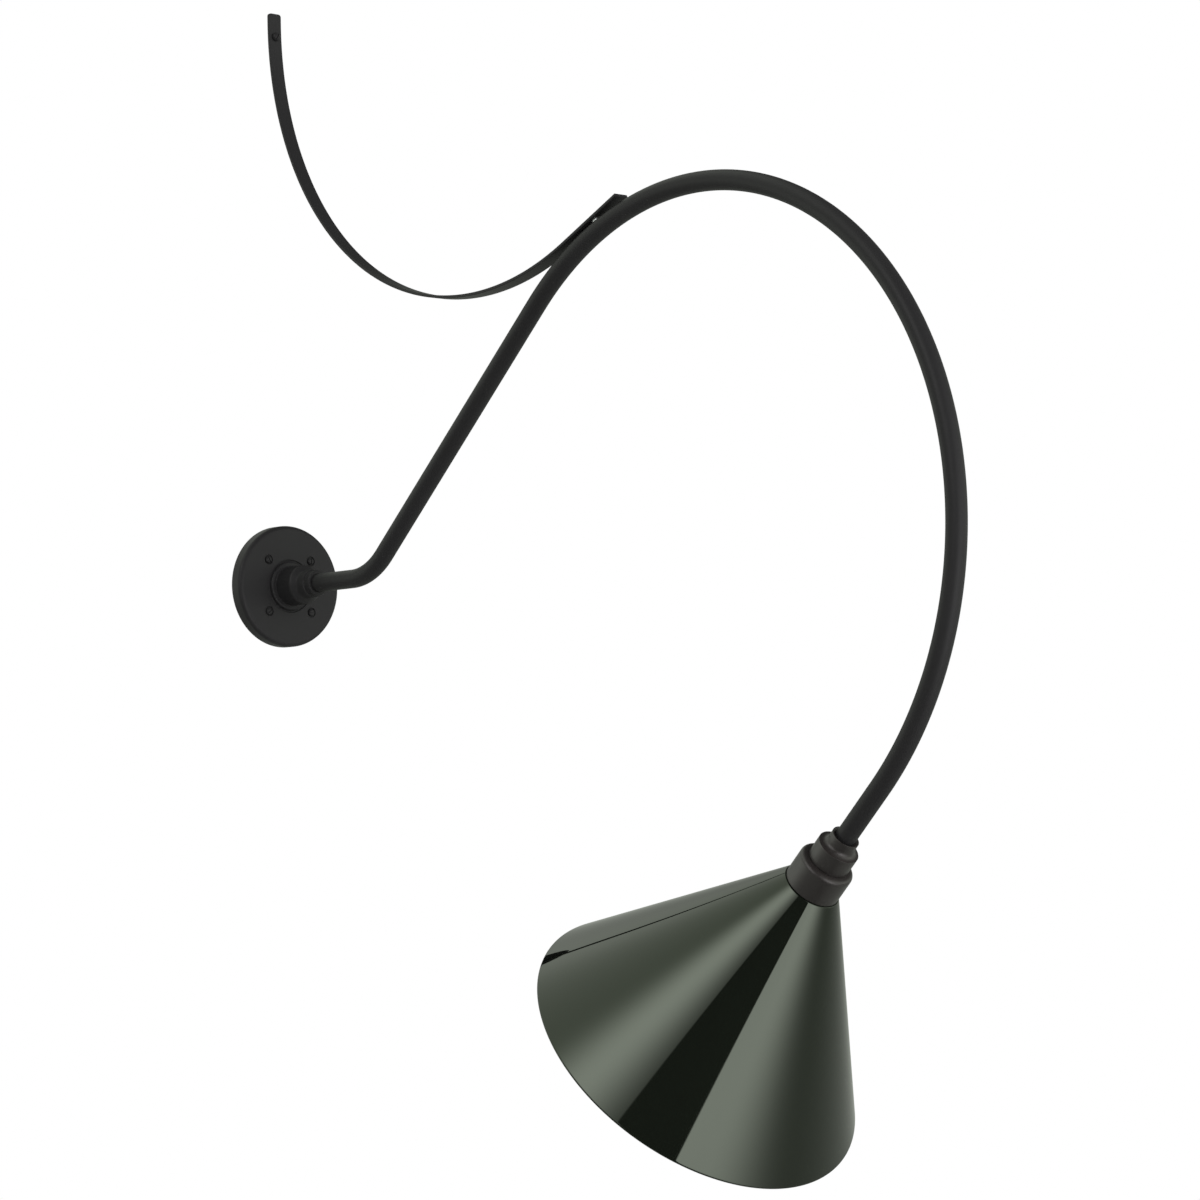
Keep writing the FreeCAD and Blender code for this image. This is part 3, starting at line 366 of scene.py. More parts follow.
def turned(line, segments, place, waist=None):
    """Skin of a closed (radius, height) line turned about its axis, each point moved by place.

    A point at angle t is (r cos t, r sin t, h); waist, if given, adds its own offset to r as a function
    of t and h.  A line that meets the axis is turned from one of its two poles to the other.
    """
    poles = line[:, 0] < TOUCHING
    if poles.any():
        first = np.flatnonzero(poles & ~np.roll(poles, -1))[0]
        line = np.roll(line, -first, axis=0)
        line = line[:np.flatnonzero(line[:, 0] < TOUCHING)[1] + 1]
    turn = np.linspace(0, 2 * pi, segments, endpoint=False)[None]
    radius = line[:, :1] + np.zeros_like(turn)
    height = line[:, 1:] + np.zeros_like(turn)
    if waist is not None:
        radius = radius + waist(turn, height)
    points = np.stack([radius * np.cos(turn), radius * np.sin(turn), height], axis=-1)
    return shell(place(points), wrap_rows=not poles.any())


def on_wall(points):
    """From a piece's own +Z to the wall's outward +X; its own X is Y and its own Y is Z."""
    return points[..., [2, 0, 1]]


def moved(place, *shift):
    """The map place, after a shift along the piece's own axes."""
    return lambda points: place(points + np.array(shift))


def walk(start, heading, steps):
    """Points and headings in the XZ plane along (length, turn) steps; a turn bends the step evenly.

    On a bend of radius R = length / turn the point at heading g is the bend's centre plus
    R (sin g, -cos g); a straight step just goes on along its heading.
    """
    places, headings = [np.array([start])], [np.array([heading])]
    here = np.array(start, float)
    for size, turn, parts in steps:
        share = np.linspace(0, 1, parts + 1)[1:]
        ahead = heading + turn * share
        if turn:
            radius = size / turn
            centre = here + radius * np.array([-sin(heading), cos(heading)])
            run = centre + radius * np.stack([np.sin(ahead), -np.cos(ahead)], axis=1)
        else:
            run = here + size * share[:, None] * np.array([cos(heading), sin(heading)])
        places.append(run)
        headings.append(ahead)
        here, heading = run[-1], ahead[-1]
    return np.concatenate(places), np.concatenate(headings)


def carried(places, headings, section):
    """Points of a section carried along a path in the XZ plane.

    A section point (n, y) goes to the path's point plus n times its upward normal and y times Y.
    """
    normal = np.stack([-np.sin(headings), np.cos(headings)], axis=1)
    if section.ndim == 2:
        section = np.broadcast_to(section, (len(places), *section.shape))
    flat = places[:, None] + normal[:, None] * section[..., :1]
    return np.stack([flat[..., 0], section[..., 1], flat[..., 1]], axis=-1)


def capped(points):
    """The grid of a carried section, closed at both ends by fans to the middle of each end."""
    ends = [np.broadcast_to(points[i].mean(axis=0), points[i].shape)[None] for i in (0, -1)]
    return np.concatenate([ends[0], points, ends[1]])


def ring(radius, columns):
    """Points (r cos t, r sin t) of a circle at even angles."""
    turn = np.linspace(0, 2 * pi, columns, endpoint=False)
    return radius * np.stack([np.cos(turn), np.sin(turn)], axis=1)


def rise_top(arm):
    """End of the arm's straight rise: stub, elbow and rise added up."""
    a = arm.rise_angle
    return np.array([arm.stub_end + arm.elbow_radius * sin(a) + arm.rise_length * cos(a),
                     arm.elbow_radius * (1 - cos(a)) + arm.rise_length * sin(a)])


def crook_centre(arm):
    """Centre of the great bend: its radius away from the rise's end, square to the rise and below it."""
    a = arm.rise_angle
    return rise_top(arm) + arm.crook_radius * np.array([sin(a), -cos(a)])


def on_neck(arm):
    """Map from a piece's own axis to the arm's outer end, counted from the end of the great bend."""
    heading = arm.rise_angle - arm.crook_sweep
    end = crook_centre(arm) + arm.crook_radius * np.array([-sin(heading), cos(heading)])
    way = np.array([cos(heading), 0, sin(heading)])
    right = np.array([way[2], 0, -way[0]])
    ahead = np.cross(way, right)
    origin = np.array([end[0], 0, end[1]])

    def place(points):
        return origin + points[..., :1] * right + points[..., 1:2] * ahead + points[..., 2:] * way
    return place


def stay_run(arm, stay):
    """The tail's nearest point to the arm, where the straight tail starts, and the curve's radius.

    The tail touches a circle round the great bend at the strap's half thickness and seat gap outside the
    tube, and the curve touches the tail and the strap's foot on the wall.
    """
    way = np.array([cos(stay.slope), sin(stay.slope)])
    up = np.array([-way[1], way[0]])
    clear = arm.crook_radius + arm.tube_radius + stay.seat_gap + stay.thickness / 2
    nearest = crook_centre(arm) + up * clear
    start = nearest - way * stay.lead
    return nearest, start, (start[0] - stay.thickness / 2) / (1 - up[0])


# ---- pieces ------------------------------------------------------------------------------------
def piece(name, shells, body, slot, *replaced, sharp=SHARP, lining=None, lined=()):
    """Object of one or more shells, smooth up to the sharp angle, riding on a body in its slot's finish.

    Points that coincide are merged, and quads shrink to triangles or to nothing with them.  lining names a
    second finish, for the quads of the rows in lined.
    """
    starts = np.cumsum([0] + [len(points) for points, _, _ in shells])
    points = np.concatenate([p for p, _, _ in shells])
    quads = np.concatenate([q + s for (_, q, _), s in zip(shells, starts)])
    rows = np.concatenate([r for _, _, r in shells])
    _, first, back = np.unique(np.round(points, 8), axis=0, return_index=True, return_inverse=True)
    quads = back.ravel()[quads]
    keep = quads != np.roll(quads, -1, axis=1)
    four, three = keep.all(axis=1), keep.sum(axis=1) == 3
    triangles = quads[three][keep[three]].reshape(-1, 3)
    mesh = bpy.data.meshes.new(name)
    mesh.from_pydata(points[first].tolist(), [], quads[four].tolist() + triangles.tolist())
    mesh.polygons.foreach_set("use_smooth", np.ones(len(mesh.polygons), bool))
    for coat in filter(None, (slot, lining)):
        mesh.materials.append(finishes[coat])
    if lining:
        second = np.isin(np.concatenate([rows[four], rows[three]]), lined)
        mesh.polygons.foreach_set("material_index", second.astype(np.int32))
    mesh.validate()
    mesh.set_sharp_from_angle(angle=radians(sharp))
    made = bpy.data.objects.new(name, mesh)
    bpy.context.scene.collection.objects.link(made)
    if body:
        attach(made, body)
        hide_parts(*replaced)
    return made


def turned_piece(name, node, slot, line, segments, place, step=None, body="fixture", waist=None, **more):
    """Piece turned from one outline, whose sides are first cut no longer than step."""
    if step:
        line = spaced(line, step)
    return piece(name, [turned(line, segments, place, waist)], body, slot, node, **more)


def carve(made, cutters):
    """Cuts the cutters' shells out of a piece with a Boolean that is applied at once."""
    tool = piece("cutter", cutters, None, None)
    cut = made.modifiers.new("cut", "BOOLEAN")
    cut.operation = "DIFFERENCE"
    cut.solver = "EXACT"
    cut.use_self = len(cutters) > 1
    cut.object = tool
    graph = bpy.context.evaluated_depsgraph_get()
    done = bpy.data.meshes.new_from_object(made.evaluated_get(graph))
    made.modifiers.clear()
    old, made.data = made.data, done
    done.name = made.name
    done.set_sharp_from_angle(angle=radians(SHARP))
    bpy.data.meshes.remove(old)
    bpy.data.meshes.remove(tool.data)


def block(x, y, z):
    """Closed box between the given pairs of numbers, as four columns with fans at both ends."""
    corners = np.array([[x[0], y[0]], [x[1], y[0]], [x[1], y[1]], [x[0], y[1]]])
    return capped(np.stack([np.concatenate([corners, np.full((4, 1), h)], axis=1) for h in z]))


def screw_line(head_radius, head_height, shank_radius, shank_length):
    """Outline of a round-headed screw whose head stands on height 0, with a bevelled tip."""
    return rounded([(0, -shank_length, 0), (0.7 * shank_radius, -shank_length, 0),
                    (shank_radius, 0.5 * shank_radius - shank_length, 0), (shank_radius, 0, 0),
                    (head_radius, 0, 0.1 * head_height), (head_radius, head_height, 0.8 * head_height),
                    (0, head_height, 0)])


def screw(head, shank, place, turn, slot=0.0009):
    """Shells of a round-headed screw and of the cutter for its slot, turned by turn and moved by place.

    The slot cuts the upper 0.4 of the head.
    """
    radius, height = head

    def spun(points):
        x, y = points[..., 0], points[..., 1]
        return place(np.stack([x * cos(turn) - y * sin(turn), x * sin(turn) + y * cos(turn),
                               points[..., 2]], axis=-1))
    groove = block((-1.5 * radius, 1.5 * radius), (-slot / 2, slot / 2), (0.6 * height, 1.6 * height))
    return turned(screw_line(*head, *shank), 48, spun), shell(spun(groove))


def threaded_wall(lamp, below, above, low, high):
    """Corners of a wall that is plain below low and above high, with the thread's middle radius between."""
    middle = max(below, above) - lamp.thread_depth / 2
    return [(below, low, 0), (middle, low + THREAD_FADE, 0), (middle, high - THREAD_FADE, 0),
            (above, high, 0)]


def thread(lamp, low, high):
    """Radius added by a rolled right-handed thread between two heights, fading out at both.

    It is depth / 2 times cos(2 pi h / pitch - t), so a point keeps its place on the thread when a turn t
    goes with an advance of pitch t / (2 pi).
    """
    def waist(turn, height):
        share = np.clip(np.minimum(height - low, high - height) / THREAD_FADE, 0, 1)
        fade = share * share * (3 - 2 * share)
        return lamp.thread_depth / 2 * fade * np.cos(2 * pi * height / lamp.pitch - turn)
    return waist


def sheet(corners, thickness, floor):
    """Corners of a sheet's inner side: the outer ones drawn in by its thickness and kept off its floor."""
    return [(radius - thickness, max(height, floor + thickness), fillet)
            for radius, height, fillet in corners]


def globe_line(lamp, inset):
    """Outline of the bulb drawn in by inset: straight neck, flare and round crown."""
    neck, wide = lamp.globe_neck - inset, lamp.globe_radius - inset
    flare, crown = lamp.globe_start + lamp.globe_neck_length, lamp.globe_end - inset
    return rounded([(neck, lamp.globe_start, 0), (neck, flare, lamp.flare_round),
                    (wide, flare + lamp.flare_length, lamp.globe_radius), (wide, crown, wide),
                    (0, crown, 0)], closed=False)


# ---- shader maths --------------------------------------------------------------------------------
class Value:
    """An output socket that arithmetic can be written on; every operator adds its Math node."""

    def __init__(self, tree, socket):
        self.tree = tree
        self.socket = socket

    def __add__(self, other):
        return self.tree.math("ADD", self, other)

    def __sub__(self, other):
        return self.tree.math("SUBTRACT", self, other)

    def __rsub__(self, other):
        return self.tree.math("SUBTRACT", other, self)

    def __mul__(self, other):
        return self.tree.math("MULTIPLY", self, other)

    def __truediv__(self, other):
        return self.tree.math("DIVIDE", self, other)

    def __neg__(self):
        return self.tree.math("MULTIPLY", self, -1.0)

    def __abs__(self):
        return self.tree.math("ABSOLUTE", self)

    __radd__ = __add__
    __rmul__ = __mul__


class Tree:
    """Node tree of a material or world."""

    def __init__(self, owner):
        owner.use_nodes = True
        self.made = owner.node_tree
        self.made.nodes.clear()

    def node(self, kind, settings=None, inputs=None, output=0):
        """Adds a node, sets its settings, then gives its sockets their values or links."""
        node = self.made.nodes.new(kind)
        for name, value in (settings or {}).items():
            setattr(node, name, value)
        for key, value in (inputs or {}).items():
            if isinstance(value, Value):
                self.made.links.new(value.socket, node.inputs[key])
            else:
                node.inputs[key].default_value = value
        return Value(self, node.outputs[output] if node.outputs else None)

    def math(self, operation, first, second=0.0):
        return self.node("ShaderNodeMath", {"operation": operation}, {0: first, 1: second})

    def dot(self, first, second):
        return self.node("ShaderNodeVectorMath", {"operation": "DOT_PRODUCT"}, {0: first, 1: second},
                         output="Value")

    def noise(self, scale, detail):
        place = self.node("ShaderNodeTexCoord", output="Object")
        return self.node("ShaderNodeTexNoise", None, {"Vector": place, "Scale": scale, "Detail": detail})

    def ramp(self, value, low, high, bottom=0.0, top=1.0, interpolation="SMOOTHSTEP"):
        """Value mapped from low..high to bottom..top and held beyond them."""
        return self.node("ShaderNodeMapRange", {"interpolation_type": interpolation},
                         {"Value": value, "From Min": low, "From Max": high,
                          "To Min": bottom, "To Max": top})

    def mixed(self, share, first, second):
        return self.node("ShaderNodeMix", {"data_type": "RGBA"}, {"Factor": share, "A": first, "B": second},
                         output="Result")


def tone(rgb, factor):
    """Opaque colour of rgb times a factor, held at 1."""
    return (*(min(1.0, c * factor) for c in rgb), 1.0)


def finish(name, rgb, roughness, metallic=0.0, cloud=6.0, mottle=0.12, spread=0.05, grain=900.0,
           bump=0.0, **constants):
    """Principled finish whose colour and roughness drift with a broad noise over a fine grain.

    Colour runs from rgb (1 - mottle) to rgb (1 + mottle) and roughness by spread either way; bump is the
    height of the fine grain in metres.
    """
    material = bpy.data.materials.new(name)
    tree = Tree(material)
    broad = tree.noise(cloud, 4.0)
    fine = tree.noise(grain, 1.0)
    drift = tree.ramp(broad * 0.7 + fine * 0.3, 0.3, 0.7, interpolation="LINEAR")
    inputs = {"Base Color": tree.mixed(drift, tone(rgb, 1 - mottle), tone(rgb, 1 + mottle)),
              "Roughness": roughness - spread + drift * (2 * spread), "Metallic": metallic}
    if bump:
        inputs["Normal"] = tree.node("ShaderNodeBump", None,
                                     {"Strength": 1.0, "Distance": bump, "Height": fine})
    inputs.update(constants)
    shader = tree.node("ShaderNodeBsdfPrincipled", None, inputs)
    tree.node("ShaderNodeOutputMaterial", None, {"Surface": shader})
    return material


def make_finishes(colours):
    """Every finish of the sconce, by the name of its slot."""
    steel = dict(metallic=1.0, spread=0.07)
    return {
        "black_coat": finish("black_coat", colours.black, 0.45, mottle=0.10, grain=1400.0, bump=0.00001,
                             **{"IOR": 1.25, "Specular Tint": (1.0, 0.98, 1.0, 1.0)}),
        "neck_coat": finish("neck_coat", colours.neck, 0.36, mottle=0.14, grain=1100.0, bump=0.00004,
                            **{"IOR": 1.5, "Specular Tint": (1.0, 0.96, 0.97, 1.0)}),
        "green_enamel": finish("green_enamel", colours.green, 0.035, mottle=0.2, spread=0.01, cloud=9.0,
                               **{"IOR": 1.5, "Specular Tint": (*colours.green_gloss, 1.0)}),
        "white_enamel": finish("white_enamel", colours.white, 0.22, mottle=0.02, spread=0.04),
        "zinc_steel": finish("zinc_steel", colours.zinc, 0.38, cloud=220.0, mottle=0.12, **steel),
        "green_screw": finish("green_screw", (0.10, 0.30, 0.14), 0.36, cloud=300.0, **steel),
        "green_insulation": finish("green_insulation", (0.03, 0.22, 0.05), 0.45),
        "black_insulation": finish("black_insulation", (0.012, 0.012, 0.013), 0.45),
        "white_insulation": finish("white_insulation", (0.72, 0.71, 0.68), 0.45, mottle=0.04),
        "connector_plastic": finish("connector_plastic", (0.62, 0.20, 0.04), 0.4, mottle=0.06),
        "porcelain": finish("porcelain", colours.porcelain, 0.12, mottle=0.025, spread=0.03, cloud=30.0),
        "brass": finish("brass", colours.brass, 0.28, cloud=160.0, **steel),
        "lamp_solder": finish("lamp_solder", (0.52, 0.52, 0.53), 0.4, cloud=500.0, bump=0.00005, **steel),
        "lamp_insulator": finish("lamp_insulator", (0.01, 0.01, 0.013), 0.1, spread=0.03),
        "lamp_cap": finish("lamp_cap", colours.nickel, 0.24, cloud=200.0, mottle=0.08, **steel),
        "lamp_glass": finish("lamp_glass", (0.97, 0.985, 0.98), 0.02, mottle=0.005, spread=0.01,
                             **{"Transmission Weight": 1.0, "IOR": 1.45}),
        "stem_glass": finish("stem_glass", (0.95, 0.97, 0.96), 0.03, mottle=0.01, spread=0.01,
                             **{"Transmission Weight": 1.0, "IOR": 1.5}),
        "filament": finish("filament", colours.filament, 0.5, mottle=0.1, cloud=400.0, grain=3000.0,
                           bump=0.0001),
    }


finishes = {}       # by name, filled by the operator that mixes them

HARDWARE = {
    "wall_plate": "zinc_steel", "ground_screws": "green_screw", "ground_lead": "green_insulation",
    "hub_locknut": "zinc_steel", "hub_set_screw": "black_coat", "stay_rivet_nut": "zinc_steel",
    "tube_insert": "zinc_steel", "nipple": "zinc_steel", "nipple_locknut": "zinc_steel",
    "shade_screws": "zinc_steel", "lampholder_bracket": "zinc_steel", "bracket_screws": "zinc_steel",
    "centre_contact": "brass", "terminal_screws": "brass", "live_wire": "black_insulation",
    "neutral_wire": "white_insulation", "wire_connectors": "connector_plastic",
}


# ---- operators -------------------------------------------------------------------------------------
class SCONCE_OT_arm(bpy.types.Operator):
    """Bend the arm tube"""
    bl_idname = "sconce.arm"
    bl_label = "Arm Tube"

    def execute(self, context):
        arm = context.scene.sconce_arm
        rise, sweep = arm.rise_angle, arm.crook_sweep
        path = walk((arm.tube_start, 0.0), 0.0,
                    [(arm.stub_end - arm.tube_start, 0, 12), (arm.elbow_radius * rise, rise, 28),
                     (arm.rise_length, 0, 24), (arm.crook_radius * sweep, -sweep, 178),
                     (arm.tail_length, 0, 8)])
        outside, inside = (carried(*path, ring(radius, 64))
                           for radius in (arm.tube_radius, arm.tube_radius - arm.tube_wall))
        skin = shell(np.concatenate([outside, inside[::-1]]), wrap_rows=True)
        piece("arm", [skin], "fixture", "black_coat", "arm_tube")
        return {"FINISHED"}


class SCONCE_OT_canopy(bpy.types.Operator):
    """Turn the wall canopy with its four recesses and fit its screws"""
    bl_idname = "sconce.canopy"
    bl_label = "Wall Canopy"

    def execute(self, context):
        c = context.scene.sconce_canopy
        face, inside, hollow = c.depth, c.depth - c.wall, c.radius - c.wall
        groove, bore = c.flange_radius + c.groove_radius, c.spigot_radius + BORE_GAP
        bevel = 0.0004
        turn = np.linspace(0, pi, 9)
        trough = (groove, face) - c.groove_radius * np.stack([np.cos(turn), np.sin(turn)], axis=1)
        rim = rounded([(groove + c.groove_radius, face, 0), (c.radius, face, c.edge_round),
                       (c.radius, bevel, 0), (c.radius - bevel, 0, 0), (hollow, 0, 0),
                       (hollow, inside, c.edge_round - c.wall), (bore, inside, 0)], closed=False)
        line = np.concatenate([[(bore, inside), (bore, face)], trough, rim[1:-1]])
        made = turned_piece("canopy", "wall_canopy", "black_coat", line, 192, on_wall)

        seat, over, beyond = face - c.recess_depth, face + 0.0001, face + 0.001
        hole, mouth = c.screw_radius + 0.0004, c.recess_radius + 0.0005
        recess = rounded([(0, -0.001, 0), (hole, -0.001, 0), (hole, seat, 0),
                          (c.recess_radius - 0.0002, seat, CRISP), (c.recess_radius, face - bevel, 0),
                          (mouth, over, 0), (mouth, beyond, 0), (0, beyond, 0)])
        side = c.screw_circle / sqrt(2)
        cutters, screws, slots = [], [], []
        for i, (x, y) in enumerate([(-side, -side), (-side, side), (side, -side), (side, side)]):
            cutters.append(turned(recess, 56, moved(on_wall, x, y, 0)))
            body, slot = screw((c.head_radius, c.head_height), (c.screw_radius, seat),
                               moved(on_wall, x, y, seat), turn=0.7 + 1.3 * i)
            screws.append(body)
            slots.append(slot)
        carve(made, cutters)
        carve(piece("canopy_screw_heads", screws, "fixture", "black_coat", "canopy_screws"), slots)
        return {"FINISHED"}


class SCONCE_OT_hub(bpy.types.Operator):
    """Turn the hub that joins the arm to the canopy"""
    bl_idname = "sconce.hub"
    bl_label = "Arm Hub"

    def execute(self, context):
        c, arm = context.scene.sconce_canopy, context.scene.sconce_arm
        face, rear, flange = c.depth, c.depth - c.spigot_length, c.depth + c.flange_height
        shoulder = face + c.barrel_height
        neck = shoulder + c.shoulder_height
        nose = neck + c.neck_height
        end = nose + c.nose_height
        flare = 0.0008
        inner, bore = arm.tube_radius - arm.tube_wall, arm.tube_radius + BORE_GAP
        line = rounded([(inner, rear, 0), (c.spigot_radius, rear, EASED), (c.spigot_radius, face, 0),
                        (c.flange_radius, face, CRISP), (c.flange_radius, flange, 0.002),
                        (c.barrel_radius, flange, EASED), (c.barrel_radius, shoulder, 0.0035),
                        (c.neck_radius + flare, neck, 0.0025), (c.neck_radius, nose, CRISP),
                        (c.nose_radius, nose + flare, 0.0002), (c.nose_radius, end, 0.0016),
                        (bore, end, 0.0002), (bore, arm.tube_start, 0), (inner, arm.tube_start, 0)])
        made = turned_piece("hub", "arm_hub", "black_coat", line, 128, on_wall, step=0.006)
        drill, height = 0.00255, face + 0.018
        hole = rounded([(0, 0, 0), (drill, 0, 0), (drill, c.flange_radius, 0), (0, c.flange_radius, 0)])

        def below(points):
            return on_wall(np.stack([points[..., 0], -points[..., 2], points[..., 1] + height], axis=-1))
        carve(made, [turned(hole, 40, below)])
        return {"FINISHED"}


class SCONCE_OT_stay(bpy.types.Operator):
    """Roll the flat stay and fit its two screws"""
    bl_idname = "sconce.stay"
    bl_label = "Stay"

    def execute(self, context):
        arm, stay = context.scene.sconce_arm, context.scene.sconce_stay
        nearest, tail_start, radius = stay_run(arm, stay)
        way = np.array([cos(stay.slope), sin(stay.slope)])
        up = np.array([-way[1], way[0]])
        centre = tail_start + up * radius
        top = centre[1] + stay.foot_length
        half, reach, sweep = stay.thickness / 2, stay.width / 2, pi / 2 + stay.slope
        places, headings = walk((half, top), -pi / 2,
                                [(stay.corner_round, 0, 10), (stay.foot_length - stay.corner_round, 0, 3),
                                 (radius * sweep, sweep, 120), (stay.lead + stay.tail_length, 0, 12)])
        corners = [(x * half, y * reach, 0.0006) for x, y in ((-1, -1), (1, -1), (1, 1), (-1, 1))]
        bar = spaced(rounded(corners), 0.002)
        down = np.clip(top - places[:, 1], 0, stay.corner_round)
        inset = stay.corner_round - np.sqrt(stay.corner_round ** 2 - (stay.corner_round - down) ** 2)
        section = np.repeat(bar[None], len(places), axis=0)
        section[:, :, 1] *= (1 - inset / reach)[:, None]
        piece("stay", [shell(capped(carried(places, headings, section)))], "fixture", "black_coat",
              "stay_strap", sharp=38.0)

        seat = nearest + way * stay.screw_offset + up * half

        def on_tail(points):
            flat = seat + points[..., 2:] * up + points[..., 1:2] * way
            return np.stack([flat[..., 0], points[..., 0], flat[..., 1]], axis=-1)
        height = top - stay.foot_drop
        below = max(centre[1] - height + stay.foot_head_radius, 0.0)
        out = centre[0] - sqrt((radius - half) ** 2 - below ** 2)
        for name, head, shank, place, turn in (
                ("stay_arm_screw", (stay.head_radius, stay.head_height), 0.0085, on_tail, 0.5),
                ("stay_foot_screw", (stay.foot_head_radius, stay.foot_head_height), out,
                 moved(on_wall, 0, height, out), 1.1)):
            body, slot = screw(head, (stay.screw_radius, shank), place, turn)
            carve(piece(name + "_head", [body], "fixture", "black_coat", name), [slot])
        return {"FINISHED"}


class SCONCE_OT_neck(bpy.types.Operator):
    """Turn the ring, the swept cap and the cup on the shade"""
    bl_idname = "sconce.neck"
    bl_label = "Neck"

    def execute(self, context):
        arm, n = context.scene.sconce_arm, context.scene.sconce_neck
        place = on_neck(arm)
        cap = arm.tail_length
        low, bore = cap - n.ring_height, arm.tube_radius + BORE_GAP
        line = rounded([(n.ring_radius - n.ring_lip, low, 0.0002), (n.ring_radius, low, CRISP),
                        (n.ring_radius, cap, 0), (bore, cap, 0), (bore, low + n.ring_hollow, 0)])
        turned_piece("neck_collar", "neck_ring", "neck_coat", line, 96, place)

        ledge, cup = cap + n.cap_ledge, cap + n.cap_height
        under, roof = ledge + n.cap_wall, cap + n.cap_roof
        collar, inner = n.ring_radius - n.cap_wall, n.skirt_radius - n.cap_wall
        line = rounded([(n.bore, cap, 0), (n.ring_radius, cap, 0), (n.ring_radius, ledge, n.cap_sweep),
                        (n.skirt_radius, ledge, 0.00025), (n.skirt_radius, cup, CRISP), (inner, cup, 0),
                        (inner, under, n.cap_wall), (collar, under, n.cap_wall), (collar, roof, n.cap_wall),
                        (n.bore, roof, 0)])
        turned_piece("swept_cap", "neck_cap", "neck_coat", line, 128, place, step=0.005)

        foot, roof, inner = cup + n.cup_height, cup + n.cup_roof, n.cup_radius - n.cup_wall
        lip, hole = foot - n.cup_lip, context.scene.sconce_shade.hole_radius
        line = rounded([(n.bore, cup, 0), (n.cup_radius, cup, n.cup_round), (n.cup_radius, foot, 0.0006),
                        (hole, foot, 0), (hole, lip, 0), (inner, lip, 0),
                        (inner, roof, n.cup_round - n.cup_wall), (n.bore, roof, 0)])
        turned_piece("shade_cup", "lampholder_cup", "neck_coat", line, 144, place, step=0.005)
        return {"FINISHED"}


class SCONCE_OT_shade(bpy.types.Operator):
    """Spin the cone shade, green outside and white inside"""
    bl_idname = "sconce.shade"
    bl_label = "Cone Shade"

    def execute(self, context):
        arm, n, s = context.scene.sconce_arm, context.scene.sconce_neck, context.scene.sconce_shade
        top = arm.tail_length + n.cap_height + n.cup_height
        mouth, lip = top + s.height, s.mouth_radius - s.hem_width
        slope = (s.mouth_radius - s.top_radius) / s.height
        across = s.wall * sqrt(1 + slope ** 2)
        outside = [(s.hole_radius, top, 0), (s.top_radius, top, s.wall),
                   (s.mouth_radius, mouth, s.hem_round), (lip, mouth, 0.0005)]
        inside = [(lip, mouth - s.wall, CRISP),
                  (s.mouth_radius - across - s.wall * slope, mouth - s.wall, CRISP),
                  (s.top_radius - across + s.wall * slope, top + s.wall, s.wall),
                  (s.hole_radius, top + s.wall, 0)]
        line = spaced(rounded(outside + inside), 0.012)
        hem = np.argmax(line[:, 1] * 10 - line[:, 0])      # the rim's innermost point: white starts here
        turned_piece("shade", "cone_shade", "green_enamel", line, 288, on_neck(arm), lining="white_enamel",
                     lined=np.arange(hem, len(line)))
        return {"FINISHED"}


class SCONCE_OT_lampholder(bpy.types.Operator):
    """Make the porcelain lampholder and its threaded shell"""
    bl_idname = "sconce.lampholder"
    bl_label = "Lampholder"

    def execute(self, context):
        lamp, place = context.scene.sconce_lamp, on_neck(context.scene.sconce_arm)
        bore = lamp.shell_radius + BORE_GAP
        line = rounded([(0, lamp.recess_floor, 0), (lamp.recess_radius, lamp.recess_floor, 0.001),
                        (lamp.recess_radius, lamp.holder_start, EASED),
                        (lamp.holder_radius, lamp.holder_start, 0.0015),
                        (lamp.holder_radius, lamp.holder_end, 0.0015), (bore, lamp.holder_end, 0.0009),
                        (bore, lamp.shell_seat, 0), (lamp.well_radius, lamp.shell_seat, 0.0005),
                        (lamp.well_radius, lamp.well_floor, EASED), (0, lamp.well_floor, 0)])
        turned_piece("porcelain_holder", "lampholder_body", "porcelain", line, 112, place, step=0.004)

        seat, end = lamp.shell_seat, lamp.shell_seat + lamp.shell_length
        low, high = seat + 0.0012, end - 0.0016
        outside = [(lamp.shell_radius, seat, 0.0006),
                   *threaded_wall(lamp, lamp.shell_radius, lamp.shell_radius, low, high),
                   (lamp.shell_radius, end, 0)]
        inside = sheet(outside, lamp.shell_sheet, seat)
        line = rounded([(lamp.shell_hole, seat, 0), *outside, *inside[::-1],
                        (lamp.shell_hole, seat + lamp.shell_sheet, 0)])
        turned_piece("threaded_shell", "screw_shell", "lamp_cap", line, 120, place, step=THREAD_STEP,
                     waist=thread(lamp, low, high), sharp=50.0)
        return {"FINISHED"}


